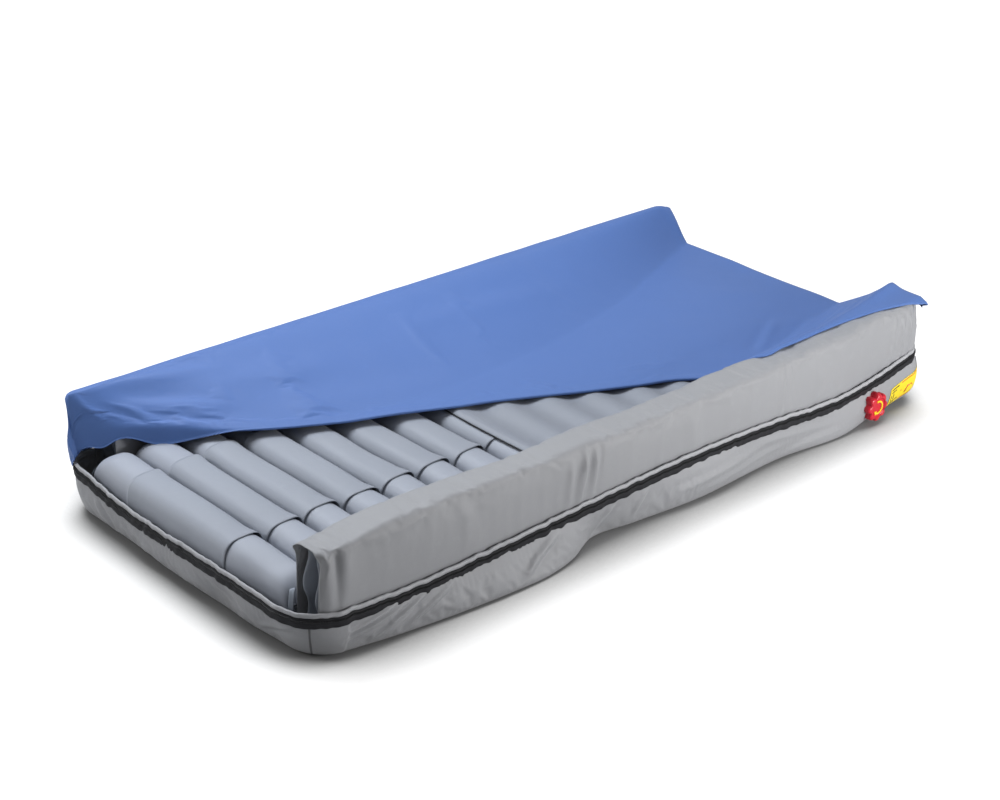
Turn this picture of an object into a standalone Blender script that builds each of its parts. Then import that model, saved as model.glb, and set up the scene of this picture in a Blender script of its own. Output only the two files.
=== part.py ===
"""Pressure relief mattress: a zipped base tray with air cells, side bolsters, overlay and a loose top cover.

Metres, +Z up. +X runs from the foot end to the head end, -Y is the side with the CPR knob.
The origin is on the floor, under the middle of the mattress.
"""

import math

import bmesh
import bpy
from mathutils import Vector

# Driving dimensions
LENGTH = 2.000
WIDTH = 0.920
CORNER_RADIUS = 0.110
CORNER_STEPS = 6
FIT_GAP = 0.0003

PANEL_THICKNESS = 0.002
BORDER_TOP = 0.112
ZIP_HEIGHT = 0.025
ZIP_THICKNESS = 0.0015
HEM_HEIGHT = 0.015
HEM_INSET = 0.0045
HEM_THICKNESS = 0.002
HEM_LIFT = 0.001
FOAM_TOP = 0.045
FOAM_CLEARANCE = 0.0012
CUT_PAST = 0.020
CUT_OVER = 0.010
BEHIND_WALL_Y = 0.440

CELL_COUNT = 19
CELL_PITCH = 0.104
CELL_HALF_LENGTH = 0.354
CELL_HALF_WIDTH = 0.0490
CELL_HALF_HEIGHT = 0.0622
CELL_CENTRE_Z = 0.110
CELL_SIDES = 16
CELL_SQUARENESS = 0.82
CELL_NOSE = [(1.0, 0.62), (0.985, 0.86), (0.95, 1.0)]

SLEEVED_CELLS = 8
SLEEVE_HALF_LENGTH = 0.185
SLEEVE_CENTRE_Y = 0.020
SLEEVE_GAP = 0.0006
SLEEVE_THICKNESS = 0.0012

BOLSTER_INNER_Y = 0.360
BOLSTER_FOOT_X = -0.940
BOLSTER_HEAD_X = 0.975
BOLSTER_BOTTOM = 0.0456
BOLSTER_TOP = 0.281
BOLSTER_ROUNDING = 0.024
BOLSTER_SLEEVE_INSET = 0.0088
BOLSTER_SLEEVE_THICKNESS = 0.0015
BOLSTER_CORE_GAP = 0.0005

OVERLAY_FOOT_X = -0.225
OVERLAY_HEAD_X = 0.965
OVERLAY_HALF_WIDTH = 0.345
OVERLAY_BOTTOM = 0.1760
OVERLAY_THICKNESS = 0.0025

COVER_INSET = 0.001
COVER_THICKNESS = 0.003
COVER_LYING_TOP = 0.1830
COVER_BOTTOM = 0.1130
COVER_TOP = BOLSTER_TOP + 0.0055
COVER_CLIMB_X = 0.500
COVER_FOLD_FOOT_Y = 0.330
COVER_FOLD_START = (-0.909, 0.325)
COVER_FOLD_END = (0.340, -0.270)
COVER_CUT_MARGIN = 0.130
COVER_CUT_XS = (0.300, 0.900)

KNOB_X = 0.800
KNOB_Z = 0.051
KNOB_RADIUS = 0.039
KNOB_LOBES = 8
KNOB_LOBE_DEPTH = 0.0045
KNOB_THICKNESS = 0.0245
KNOB_EDGE_ROUNDING = 0.003
HOLE_CLEARANCE = 0.001
SIDE_REACH = 0.030
FLANGE_RADIUS = 0.034
FLANGE_THICKNESS = 0.006
ROTOR_RADIUS = 0.0095
ROTOR_BORE = 0.0100
VALVE_RADIUS = 0.022
VALVE_DEPTH = 0.045
VALVE_GAP = 0.0005
VALVE_FLOOR = 0.006
ROTOR_END_GAP = 0.001
INLET_SPREAD = 0.012
INLET_START = 0.008
INLET_BLOCK_HALF_WIDTH = 0.018
INLET_BLOCK_START = 0.012
INLET_BLOCK_END = 0.002
INLET_BLOCK_DROP = 0.006
POCKET_HALF_WIDTH = 0.030
POCKET_HEADROOM = 0.008

TUBE_RADIUS = 0.006
STUB_RADIUS = 0.004
LINE_A_Y = -0.343
LINE_A_Z = 0.036
LINE_B_Y = -0.313
LINE_B_Z = 0.022
LINE_HALF_LENGTH = 0.948
SUPPLY_X = -0.800
SUPPLY_SPREAD = 0.014
SUPPLY_END_GAP = 0.004
BRANCH_SHARE = 0.9
JOIN_OVERLAP = 0.001
GROOVE_FLOOR = 0.012
GROOVE_HALF_WIDTH = 0.012
GROOVE_END_ROOM = 0.006

CONNECTOR_MARGIN = 0.016
CONNECTOR_BOTTOM = 0.008
CONNECTOR_TOP = 0.052
CONNECTOR_THICKNESS = 0.006
NOZZLE_WALL = 0.0015

LABEL_START_ANGLE = -86
LABEL_END_ANGLE = -30
LABEL_INSET = 0.0005
LABEL_THICKNESS = 0.0009
LABEL_BOTTOM = 0.020
LABEL_TOP = 0.080

TIE_INNER_Y = 0.375
TIE_WIDTH = 0.020
TIE_FOOT_X = -0.961
TIE_THICKNESS = 0.0015
TIE_BOTTOM = 0.0463
TIE_TOP = 0.115

SLIDER_X = -0.840
SLIDER_LENGTH = 0.016
SLIDER_HEIGHT = 0.017
SLIDER_THICKNESS = 0.006
EAR_REACH = 0.004
EAR_THICKNESS = 0.0025
EAR_HALF_LENGTH = 0.003
EAR_GAP = 0.0006
PULL_LENGTH = 0.030
PULL_WIDTH = 0.008
PULL_THICKNESS = 0.0012
PULL_HEEL = 0.0008
PULL_CLEARANCE = 0.0003
PULL_EYE_X = -0.024
PULL_EYE_RADIUS = 0.0022

HALF_LENGTH = LENGTH / 2
HALF_WIDTH = WIDTH / 2
WALL_INSET = ZIP_THICKNESS + FIT_GAP
ZIP_TOP = BORDER_TOP - 0.001
ZIP_MIDDLE = ZIP_TOP - ZIP_HEIGHT / 2


def clear_scene():
    for old in list(bpy.data.objects):
        bpy.data.objects.remove(old, do_unlink=True)


def material(name, colour, roughness, metallic=0.0):
    made = bpy.data.materials.new(name)
    made.use_nodes = True
    shader = made.node_tree.nodes["Principled BSDF"]
    shader.inputs["Base Color"].default_value = (*colour, 1.0)
    shader.inputs["Roughness"].default_value = roughness
    shader.inputs["Metallic"].default_value = metallic
    made.diffuse_color = (*colour, 1.0)
    return made


def add_object(name, bm, finish=None, smooth_angle=None):
    """Turns a bmesh into a linked object; without a finish it is a hidden helper."""
    bmesh.ops.recalc_face_normals(bm, faces=bm.faces)
    mesh = bpy.data.meshes.new(name)
    bm.to_mesh(mesh)
    bm.free()
    made = bpy.data.objects.new(name, mesh)
    bpy.context.scene.collection.objects.link(made)
    if finish is None:
        made.hide_render = True
        made.display_type = "WIRE"
    else:
        mesh.materials.append(finish)
    if smooth_angle is not None:
        mesh.shade_smooth()
        mesh.set_sharp_from_angle(angle=math.radians(smooth_angle))
    return made


def boolean(target, helper, operation):
    step = target.modifiers.new(f"{operation.lower()} {helper.name}", "BOOLEAN")
    step.object = helper
    step.operation = operation


def bevel(target, width, segments):
    step = target.modifiers.new("edge rounding", "BEVEL")
    step.width = width
    step.segments = segments
    step.limit_method = "ANGLE"
    step.angle_limit = math.radians(60)


# Plan outlines and the solids raised from them


def arc(centre_x, centre_y, radius, start, end, steps=CORNER_STEPS):
    """Points on a circle from start to end, both in degrees."""
    angles = [math.radians(start + (end - start) * i / steps) for i in range(steps + 1)]
    return [(centre_x + radius * math.cos(a), centre_y + radius * math.sin(a)) for a in angles]


def tray_outline(inset):
    """The mattress outline in plan, anticlockwise, moved inward by inset."""
    radius = CORNER_RADIUS - inset
    centre_x = HALF_LENGTH - CORNER_RADIUS
    centre_y = HALF_WIDTH - CORNER_RADIUS
    outline = arc(centre_x, centre_y, radius, 0, 90)
    outline += arc(-centre_x, centre_y, radius, 90, 180)
    outline += arc(-centre_x, -centre_y, radius, 180, 270)
    outline += arc(centre_x, -centre_y, radius, 270, 360)
    return outline


def prism(name, outline, bottom, top, finish=None):
    bm = bmesh.new()
    base = bm.faces.new([bm.verts.new((x, y, bottom)) for x, y in outline])
    raised = bmesh.ops.extrude_face_region(bm, geom=[base])
    risen = [item for item in raised["geom"] if isinstance(item, bmesh.types.BMVert)]
    bmesh.ops.translate(bm, verts=risen, vec=(0, 0, top - bottom))
    return add_object(name, bm, finish)


def box(name, low, high, finish=None):
    corners = [(low[0], low[1]), (high[0], low[1]), (high[0], high[1]), (low[0], high[1])]
    return prism(name, corners, low[2], high[2], finish)


def join_loops(bm, loops):
    """Skins a closed run of vertex loops, the last one joined back to the first."""
    count = len(loops[0])
    for k, loop in enumerate(loops):
        following = loops[(k + 1) % len(loops)]
        for i in range(count):
            j = (i + 1) % count
            bm.faces.new((loop[i], loop[j], following[j], following[i]))


def ring(name, outer_inset, inner_inset, bottom, top, finish):
    """A closed band that follows the mattress outline."""
    bm = bmesh.new()
    corners = [(outer_inset, bottom), (outer_inset, top), (inner_inset, top), (inner_inset, bottom)]
    loops = [[bm.verts.new((x, y, z)) for x, y in tray_outline(inset)] for inset, z in corners]
    join_loops(bm, loops)
    return add_object(name, bm, finish)


def cylinder(name, start, end, radius, sides=16, finish=None):
    """A straight round bar from start to end."""
    start = Vector(start)
    along = Vector(end) - start
    bm = bmesh.new()
    bmesh.ops.create_cone(
        bm, cap_ends=True, segments=sides, radius1=radius, radius2=radius, depth=along.length
    )
    turn = along.to_track_quat("Z", "Y").to_matrix().to_4x4()
    turn.translation = start + along / 2
    bmesh.ops.transform(bm, matrix=turn, verts=bm.verts)
    return add_object(name, bm, finish, smooth_angle=40)


# The base tray


def end_wall_outline(side, outer_inset, inner_inset):
    """The U of an end panel: two rounded corners and the straight run between them."""
    centre_x = HALF_LENGTH - CORNER_RADIUS
    centre_y = HALF_WIDTH - CORNER_RADIUS
    outline = []
    for inset, turn in ((outer_inset, 1), (inner_inset, -1)):
        radius = CORNER_RADIUS - inset
        run = arc(centre_x, -centre_y, radius, -90, 0) + arc(centre_x, centre_y, radius, 0, 90)
        outline += run[::turn]
    return [(side * x, y) for x, y in outline]


def make_tray(grey, dark, black):
    prism("base_panel", tray_outline(WALL_INSET), 0.0, PANEL_THICKNESS, dark)
    low = PANEL_THICKNESS + FIT_GAP
    inner = WALL_INSET + PANEL_THICKNESS
    prism("border_foot", end_wall_outline(-1, WALL_INSET, inner), low, BORDER_TOP, grey)
    prism("border_head", end_wall_outline(1, WALL_INSET, inner), low, BORDER_TOP, grey)
    reach = HALF_LENGTH - CORNER_RADIUS - FIT_GAP
    outer_y = HALF_WIDTH - WALL_INSET
    inner_y = HALF_WIDTH - inner
    near = box("border_near", (-reach, -outer_y, low), (reach, -inner_y, BORDER_TOP), grey)
    far = box("border_far", (-reach, inner_y, low), (reach, outer_y, BORDER_TOP), grey)
    knob_hole = cylinder(
        "knob_hole",
        (KNOB_X, -HALF_WIDTH - CUT_PAST, KNOB_Z),
        (KNOB_X, -BEHIND_WALL_Y, KNOB_Z),
        ROTOR_BORE + HOLE_CLEARANCE,
    )
    boolean(near, knob_hole, "DIFFERENCE")
    for line, x, z in supply_ends():
        hole = cylinder(
            f"supply_hole_{line}",
            (x, BEHIND_WALL_Y, z),
            (x, HALF_WIDTH + CUT_PAST, z),
            TUBE_RADIUS + HOLE_CLEARANCE,
        )
        boolean(far, hole, "DIFFERENCE")
    ring("zip_tape", 0.0, ZIP_THICKNESS, ZIP_TOP - ZIP_HEIGHT, ZIP_TOP, black)
    hem_bottom = BORDER_TOP + HEM_LIFT
    ring("rim_hem", HEM_INSET, HEM_INSET + HEM_THICKNESS, hem_bottom, hem_bottom + HEM_HEIGHT, grey)


def make_foam(yellow_foam):
    inset = WALL_INSET + PANEL_THICKNESS + FOAM_CLEARANCE
    foam = prism("foam_base", tray_outline(inset), PANEL_THICKNESS + FIT_GAP, FOAM_TOP, yellow_foam)
    groove_end = LINE_HALF_LENGTH + GROOVE_END_ROOM
    run = box(
        "line_groove",
        (-groove_end, LINE_A_Y - GROOVE_HALF_WIDTH, GROOVE_FLOOR),
        (groove_end, LINE_B_Y + GROOVE_HALF_WIDTH, FOAM_TOP + CUT_OVER),
    )
    crossing_half = SUPPLY_SPREAD + GROOVE_HALF_WIDTH
    crossing = box(
        "supply_groove",
        (SUPPLY_X - crossing_half, LINE_B_Y, GROOVE_FLOOR),
        (SUPPLY_X + crossing_half, HALF_WIDTH, FOAM_TOP + CUT_OVER),
    )
    for cutter in (run, crossing, valve_pocket()):
        boolean(foam, cutter, "DIFFERENCE")


def valve_pocket():
    """The room for the CPR valve behind the near wall, cut from the foam and the bolster."""
    found = bpy.data.objects.get("valve_pocket")
    if found:
        return found
    low = (KNOB_X - POCKET_HALF_WIDTH, -HALF_WIDTH - CUT_OVER, GROOVE_FLOOR)
    high = (KNOB_X + POCKET_HALF_WIDTH, LINE_A_Y, KNOB_Z + VALVE_RADIUS + POCKET_HEADROOM)
    return box("valve_pocket", low, high)


# Air cells, their sleeves and the air lines


def oval(half_width, half_height):
    """A rounded-square section in X and Z, centred on zero."""
    points = []
    for i in range(CELL_SIDES):
        angle = 2 * math.pi * i / CELL_SIDES
        c, s = math.cos(angle), math.sin(angle)
        x = half_width * math.copysign(abs(c) ** CELL_SQUARENESS, c)
        z = half_height * math.copysign(abs(s) ** CELL_SQUARENESS, s)
        points.append((x, z))
    return points


def cell_x(index):
    return (index - (CELL_COUNT - 1) / 2) * CELL_PITCH


def air_cell(index, finish):
    """A transverse tube whose two ends close in to a blunt nose."""
    profile = [(-reach, scale) for reach, scale in CELL_NOSE]
    profile += [(reach, scale) for reach, scale in reversed(CELL_NOSE)]
    bm = bmesh.new()
    loops = []
    for reach, scale in profile:
        section = oval(CELL_HALF_WIDTH * scale, CELL_HALF_HEIGHT * scale)
        y = reach * CELL_HALF_LENGTH
        loops.append([bm.verts.new((cell_x(index) + x, y, CELL_CENTRE_Z + z)) for x, z in section])
    for loop, following in zip(loops, loops[1:]):
        for i in range(CELL_SIDES):
            j = (i + 1) % CELL_SIDES
            bm.faces.new((loop[i], loop[j], following[j], following[i]))
    bm.faces.new(loops[0])
    bm.faces.new(loops[-1])
    return add_object(f"air_cell_{index + 1:02d}", bm, finish, smooth_angle=50)


def cell_sleeve(index, finish):
    """The loose fabric tube over the middle of a cell."""
    inner = SLEEVE_GAP
    outer = SLEEVE_GAP + SLEEVE_THICKNESS
    low = SLEEVE_CENTRE_Y - SLEEVE_HALF_LENGTH
    high = SLEEVE_CENTRE_Y + SLEEVE_HALF_LENGTH
    bm = bmesh.new()
    loops = []
    for grow, y in ((outer, low), (outer, high), (inner, high), (inner, low)):
        section = oval(CELL_HALF_WIDTH + grow, CELL_HALF_HEIGHT + grow)
        loops.append([bm.verts.new((cell_x(index) + x, y, CELL_CENTRE_Z + z)) for x, z in section])
    join_loops(bm, loops)
    return add_object(f"cell_sleeve_{index + 1:02d}", bm, finish, smooth_angle=50)


def supply_ends():
    """Where each air line leaves the far wall: its letter, X and Z."""
    return (
        ("a", SUPPLY_X - SUPPLY_SPREAD, LINE_A_Z),
        ("b", SUPPLY_X + SUPPLY_SPREAD, LINE_B_Z),
    )


def make_air_lines(clear):
    """Line A feeds the odd cells and line B the even ones, each through a stub under the cell."""
    stub_top = CELL_CENTRE_Z - CELL_HALF_HEIGHT - FIT_GAP
    supply_y = HALF_WIDTH - WALL_INSET - PANEL_THICKNESS - SUPPLY_END_GAP
    places = ((0, LINE_A_Y, LINE_A_Z), (1, LINE_B_Y, LINE_B_Z))
    for (first, y, z), (letter, supply_x, _) in zip(places, supply_ends()):
        start = (-LINE_HALF_LENGTH, y, z)
        line = cylinder(f"air_line_{letter}", start, (LINE_HALF_LENGTH, y, z), TUBE_RADIUS, 8, clear)
        branch = cylinder(
            f"supply_branch_{letter}",
            (supply_x, y - JOIN_OVERLAP, z),
            (supply_x, supply_y, z),
            TUBE_RADIUS * BRANCH_SHARE,
            9,
        )
        boolean(line, branch, "UNION")
        for index in range(first, CELL_COUNT, 2):
            x = cell_x(index)
            stub = cylinder(f"stub_{index}", (x, y, z + JOIN_OVERLAP), (x, y, stub_top), STUB_RADIUS, 7)
            boolean(line, stub, "UNION")


# Side bolsters


def bolster_outline(side, inset):
    """A strip along one side whose outer corners follow the tray's rounded corners."""
    centre_x = HALF_LENGTH - CORNER_RADIUS
    centre_y = HALF_WIDTH - CORNER_RADIUS
    extra = inset - BOLSTER_SLEEVE_INSET
    radius = CORNER_RADIUS - inset
    foot_x = BOLSTER_FOOT_X + extra
    head_x = BOLSTER_HEAD_X - extra
    head_angle = math.degrees(math.acos((head_x - centre_x) / radius))
    foot_angle = 180 - math.degrees(math.acos((-foot_x - centre_x) / radius))
    outline = [(foot_x, BOLSTER_INNER_Y + extra), (head_x, BOLSTER_INNER_Y + extra)]
    outline += arc(centre_x, centre_y, radius, head_angle, 90, 3)
    outline += arc(-centre_x, centre_y, radius, 90, foot_angle, 3)
    return [(x, side * y) for x, y in outline]


def bolster_block(name, side, inset, bottom, top, finish=None):
    """An upright strip with its top edges rounded."""
    block = prism(name, bolster_outline(side, inset), bottom, top, finish)
    bm = bmesh.new()
    bm.from_mesh(block.data)
    rim = [edge for edge in bm.edges if all(abs(v.co.z - top) < 1e-6 for v in edge.verts)]
    rounding = BOLSTER_ROUNDING - (inset - BOLSTER_SLEEVE_INSET)
    bmesh.ops.bevel(bm, geom=rim, offset=rounding, segments=3, profile=0.5, affect="EDGES")
    bm.to_mesh(block.data)
    bm.free()
    return block


def make_bolster(word, side, grey, foam):
    skin_inset = BOLSTER_SLEEVE_INSET + BOLSTER_SLEEVE_THICKNESS
    skin_top = BOLSTER_TOP - BOLSTER_SLEEVE_THICKNESS
    core_inset = skin_inset + BOLSTER_CORE_GAP
    core_top = skin_top - BOLSTER_CORE_GAP
    core = bolster_block(f"bolster_core_{word}", side, core_inset, BOLSTER_BOTTOM, core_top, foam)
    sleeve = bolster_block(
        f"bolster_sleeve_{word}", side, BOLSTER_SLEEVE_INSET, BOLSTER_BOTTOM, BOLSTER_TOP, grey
    )
    below = BOLSTER_BOTTOM - CUT_OVER
    hollow = bolster_block(f"bolster_hollow_{word}", side, skin_inset, below, skin_top)
    boolean(sleeve, hollow, "DIFFERENCE")
    if side < 0:
        boolean(core, valve_pocket(), "DIFFERENCE")
        boolean(sleeve, valve_pocket(), "DIFFERENCE")


# Overlay and top cover


def make_overlay(grey):
    low = (OVERLAY_FOOT_X, -OVERLAY_HALF_WIDTH, OVERLAY_BOTTOM)
    high = (OVERLAY_HEAD_X, OVERLAY_HALF_WIDTH, OVERLAY_BOTTOM + OVERLAY_THICKNESS)
    box("overlay_sheet", low, high, grey)


def cover_outline(inset, fold):
    """The part of the outline that the cover lies over, closed by the diagonal fold edge."""
    corner_x = HALF_LENGTH - CORNER_RADIUS
    corner_y = HALF_WIDTH - CORNER_RADIUS
    radius = CORNER_RADIUS - inset
    outline = [(HALF_LENGTH - inset, COVER_THICKNESS / 2 - BOLSTER_INNER_Y)]
    outline += arc(corner_x, corner_y, radius, 0, 90)
    outline += arc(-corner_x, corner_y, radius, 90, 180)
    return outline + fold


def far_strip(inset, inner_y):
    """The outline's part beyond inner_y, over the far bolster."""
    outer = [point for point in cover_outline(inset, []) if point[1] > inner_y]
    return [(HALF_LENGTH - inset, inner_y)] + outer + [(inset - HALF_LENGTH, inner_y)]


def make_top_cover(blue):
    """A shell open below: flat over the cells, raised over the far bolster and the near bolster's head."""
    inner = COVER_INSET + COVER_THICKNESS
    wall_back = BOLSTER_INNER_Y - 2 * FIT_GAP
    wall_front = wall_back - COVER_THICKNESS
    fold = [(COVER_INSET - HALF_LENGTH, COVER_FOLD_FOOT_Y), COVER_FOLD_START, COVER_FOLD_END]
    fold += [(COVER_CLIMB_X, COVER_THICKNESS / 2 - BOLSTER_INNER_Y)]
    past_y = COVER_FOLD_FOOT_Y - COVER_CUT_MARGIN
    fold_past = [(inner - HALF_LENGTH, past_y), (COVER_FOLD_START[0], past_y)]
    fold_past += [(x, COVER_FOLD_END[1] - COVER_CUT_MARGIN) for x in COVER_CUT_XS]
    cover = prism("top_cover", cover_outline(COVER_INSET, fold), COVER_BOTTOM, COVER_LYING_TOP, blue)
    far_rise = prism("far_rise", far_strip(COVER_INSET, wall_front), COVER_BOTTOM, COVER_TOP)
    head_x = BOLSTER_HEAD_X + FIT_GAP + COVER_THICKNESS
    near_low = -HALF_WIDTH + BOLSTER_SLEEVE_INSET + BOLSTER_ROUNDING
    hem_top = BORDER_TOP + 2 * HEM_LIFT + HEM_HEIGHT
    near_rise = box("near_rise", (COVER_CLIMB_X, near_low, hem_top), (head_x, -wall_front, COVER_TOP))
    below = COVER_BOTTOM - CUT_OVER
    lying_bottom = COVER_LYING_TOP - COVER_THICKNESS
    top_room = COVER_TOP - COVER_THICKNESS
    lying_room = prism("lying_room", cover_outline(inner, fold_past), below, lying_bottom)
    far_room = prism("far_room", far_strip(inner, wall_back), below, top_room)
    near_room = box(
        "near_room",
        (COVER_CLIMB_X - COVER_CUT_MARGIN, -HALF_WIDTH, below),
        (head_x - COVER_THICKNESS, -wall_back, top_room),
    )
    for rise in (far_rise, near_rise):
        boolean(cover, rise, "UNION")
    for room in (lying_room, far_room, near_room):
        boolean(cover, room, "DIFFERENCE")


# CPR valve


def lobed_outline(radius, depth, lobes, steps_per_lobe=6):
    """A grip outline with rounded lobes and shallow hollows between them."""
    count = lobes * steps_per_lobe
    outline = []
    for i in range(count):
        angle = 2 * math.pi * i / count
        reach = radius - depth / 2 + depth / 2 * math.cos(lobes * angle)
        outline.append((reach * math.cos(angle), reach * math.sin(angle)))
    return outline


def make_cpr_valve(red, dark_plastic, pale_plastic):
    knob_face = -HALF_WIDTH - SIDE_REACH
    knob_back = knob_face + KNOB_THICKNESS
    knob = prism(
        "cpr_knob", lobed_outline(KNOB_RADIUS, KNOB_LOBE_DEPTH, KNOB_LOBES), 0, KNOB_THICKNESS, red
    )
    knob.rotation_euler = (math.radians(-90), 0, 0)
    knob.location = (KNOB_X, knob_face, KNOB_Z)
    bevel(knob, KNOB_EDGE_ROUNDING, 2)
    wall_outer = -HALF_WIDTH + WALL_INSET
    flange_inner = wall_outer - FIT_GAP
    flange = cylinder(
        "cpr_flange",
        (KNOB_X, flange_inner - FLANGE_THICKNESS, KNOB_Z),
        (KNOB_X, flange_inner, KNOB_Z),
        FLANGE_RADIUS,
        24,
        dark_plastic,
    )
    wall_inner = wall_outer + PANEL_THICKNESS
    valve_start = wall_inner + VALVE_GAP
    valve_end = valve_start + VALVE_DEPTH
    valve = cylinder(
        "cpr_valve_body",
        (KNOB_X, valve_start, KNOB_Z),
        (KNOB_X, valve_end, KNOB_Z),
        VALVE_RADIUS,
        16,
        pale_plastic,
    )
    bore_end = valve_end - VALVE_FLOOR
    bore_start = -HALF_WIDTH - CUT_PAST
    bore = cylinder("rotor_bore", (KNOB_X, bore_start, KNOB_Z), (KNOB_X, bore_end, KNOB_Z), ROTOR_BORE)
    boolean(flange, bore, "DIFFERENCE")
    for letter, x, line_y, line_z in (
        ("a", KNOB_X - INLET_SPREAD, LINE_A_Y, LINE_A_Z),
        ("b", KNOB_X + INLET_SPREAD, LINE_B_Y, LINE_B_Z),
    ):
        reach = line_y - TUBE_RADIUS - FIT_GAP
        start = (x, valve_end - INLET_START, line_z)
        inlet = cylinder(f"cpr_inlet_{letter}", start, (x, reach, line_z), STUB_RADIUS, 8)
        boolean(valve, inlet, "UNION")
    drop = box(
        "inlet_block",
        (KNOB_X - INLET_BLOCK_HALF_WIDTH, valve_end - INLET_BLOCK_START, LINE_B_Z - INLET_BLOCK_DROP),
        (KNOB_X + INLET_BLOCK_HALF_WIDTH, valve_end - INLET_BLOCK_END, KNOB_Z),
    )
    boolean(valve, drop, "UNION")
    boolean(valve, bore, "DIFFERENCE")
    cylinder(
        "cpr_rotor",
        (KNOB_X, knob_back + FIT_GAP, KNOB_Z),
        (KNOB_X, bore_end - ROTOR_END_GAP, KNOB_Z),
        ROTOR_RADIUS,
        16,
        pale_plastic,
    )


# Fittings on the walls


def make_hose_connector(dark_plastic):
    """The pump hose plugs in here: a plate with two nozzles on the far wall."""
    wall_outer = HALF_WIDTH - WALL_INSET
    plate_inner = wall_outer + FIT_GAP
    plate_half = SUPPLY_SPREAD + CONNECTOR_MARGIN
    connector = box(
        "hose_connector",
        (SUPPLY_X - plate_half, plate_inner, CONNECTOR_BOTTOM),
        (SUPPLY_X + plate_half, plate_inner + CONNECTOR_THICKNESS, CONNECTOR_TOP),
        dark_plastic,
    )
    for letter, x, z in supply_ends():
        nozzle = cylinder(
            f"nozzle_{letter}",
            (x, plate_inner + CONNECTOR_THICKNESS / 2, z),
            (x, HALF_WIDTH + SIDE_REACH, z),
            TUBE_RADIUS + NOZZLE_WALL,
            12,
        )
        boolean(connector, nozzle, "UNION")
        passage_end = (x, HALF_WIDTH + SIDE_REACH + CUT_OVER, z)
        passage = cylinder(f"passage_{letter}", (x, BEHIND_WALL_Y, z), passage_end, STUB_RADIUS, 8)
        boolean(connector, passage, "DIFFERENCE")


def make_label(yellow):
    """The CPR label wraps the head corner on the knob's side."""
    centre_x = HALF_LENGTH - CORNER_RADIUS
    centre_y = HALF_WIDTH - CORNER_RADIUS
    face_radius = CORNER_RADIUS - LABEL_INSET
    back_radius = face_radius - LABEL_THICKNESS
    face = arc(centre_x, -centre_y, face_radius, LABEL_START_ANGLE, LABEL_END_ANGLE)
    back = arc(centre_x, -centre_y, back_radius, LABEL_START_ANGLE, LABEL_END_ANGLE)
    prism("cpr_label", face + back[::-1], LABEL_BOTTOM, LABEL_TOP, yellow)


def make_ties(pale):
    """Short webbing ties that hold the first cell down at the two foot corners."""
    for word, side in (("near", -1), ("far", 1)):
        ends = sorted((side * TIE_INNER_Y, side * (TIE_INNER_Y + TIE_WIDTH)))
        low = (TIE_FOOT_X, ends[0], TIE_BOTTOM)
        high = (TIE_FOOT_X + TIE_THICKNESS, ends[1], TIE_TOP)
        box(f"cell_tie_{word}", low, high, pale)


def make_zip_slider(metal):
    """The slider rides on the far side of the zip; its pull swings on two ears."""
    face = HALF_WIDTH + FIT_GAP
    front = face + SLIDER_THICKNESS
    half = SLIDER_LENGTH / 2
    half_height = SLIDER_HEIGHT / 2
    slider = box(
        "zip_slider",
        (SLIDER_X - half, face, ZIP_MIDDLE - half_height),
        (SLIDER_X + half, front, ZIP_MIDDLE + half_height),
        metal,
    )
    ear_gap = PULL_WIDTH / 2 + EAR_GAP
    for word, side in (("lower", -1), ("upper", 1)):
        ends = sorted((side * ear_gap, side * (ear_gap + EAR_THICKNESS)))
        ear = box(
            f"{word}_ear",
            (SLIDER_X - EAR_HALF_LENGTH, front - JOIN_OVERLAP, ZIP_MIDDLE + ends[0]),
            (SLIDER_X + EAR_HALF_LENGTH, front + EAR_REACH, ZIP_MIDDLE + ends[1]),
        )
        boolean(slider, ear, "UNION")
    hinge_y = front + EAR_REACH / 2 + PULL_CLEARANCE
    half_thick = PULL_THICKNESS / 2
    pull = box(
        "zip_pull",
        (PULL_HEEL - PULL_LENGTH, -half_thick, -PULL_WIDTH / 2),
        (PULL_HEEL, half_thick, PULL_WIDTH / 2),
        metal,
    )
    pull.location = (SLIDER_X, hinge_y, ZIP_MIDDLE)
    eye = cylinder("pull_eye", (PULL_EYE_X, -CUT_OVER, 0), (PULL_EYE_X, CUT_OVER, 0), PULL_EYE_RADIUS, 10)
    eye.parent = pull
    boolean(pull, eye, "DIFFERENCE")


def make_mattress():
    grey = material("grey_coated_fabric", (0.26, 0.27, 0.28), 0.48)
    dark = material("dark_base_fabric", (0.10, 0.10, 0.11), 0.70)
    black = material("black_zip_tape", (0.015, 0.015, 0.017), 0.60)
    cell_grey = material("cell_fabric", (0.20, 0.22, 0.235), 0.55)
    sleeve_grey = material("cell_sleeve_fabric", (0.23, 0.245, 0.26), 0.52)
    blue = material("blue_cover_fabric", (0.085, 0.165, 0.45), 0.42)
    foam = material("foam", (0.75, 0.68, 0.45), 0.90)
    clear = material("air_tube", (0.65, 0.68, 0.70), 0.30)
    red = material("red_plastic", (0.60, 0.015, 0.045), 0.35)
    dark_plastic = material("dark_plastic", (0.05, 0.05, 0.055), 0.45)
    pale_plastic = material("pale_plastic", (0.70, 0.70, 0.68), 0.40)
    yellow = material("yellow_label", (0.95, 0.78, 0.02), 0.45)
    webbing = material("pale_webbing", (0.55, 0.57, 0.60), 0.75)
    metal = material("slider_metal", (0.08, 0.08, 0.085), 0.35, 0.9)
    make_tray(grey, dark, black)
    make_foam(foam)
    for index in range(CELL_COUNT):
        air_cell(index, cell_grey)
    for index in range(SLEEVED_CELLS):
        cell_sleeve(index, sleeve_grey)
    make_air_lines(clear)
    make_bolster("near", -1, grey, foam)
    make_bolster("far", 1, grey, foam)
    make_overlay(grey)
    make_top_cover(blue)
    make_cpr_valve(red, dark_plastic, pale_plastic)
    make_hose_connector(dark_plastic)
    make_label(yellow)
    make_ties(webbing)
    make_zip_slider(metal)


clear_scene()
make_mattress()
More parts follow.
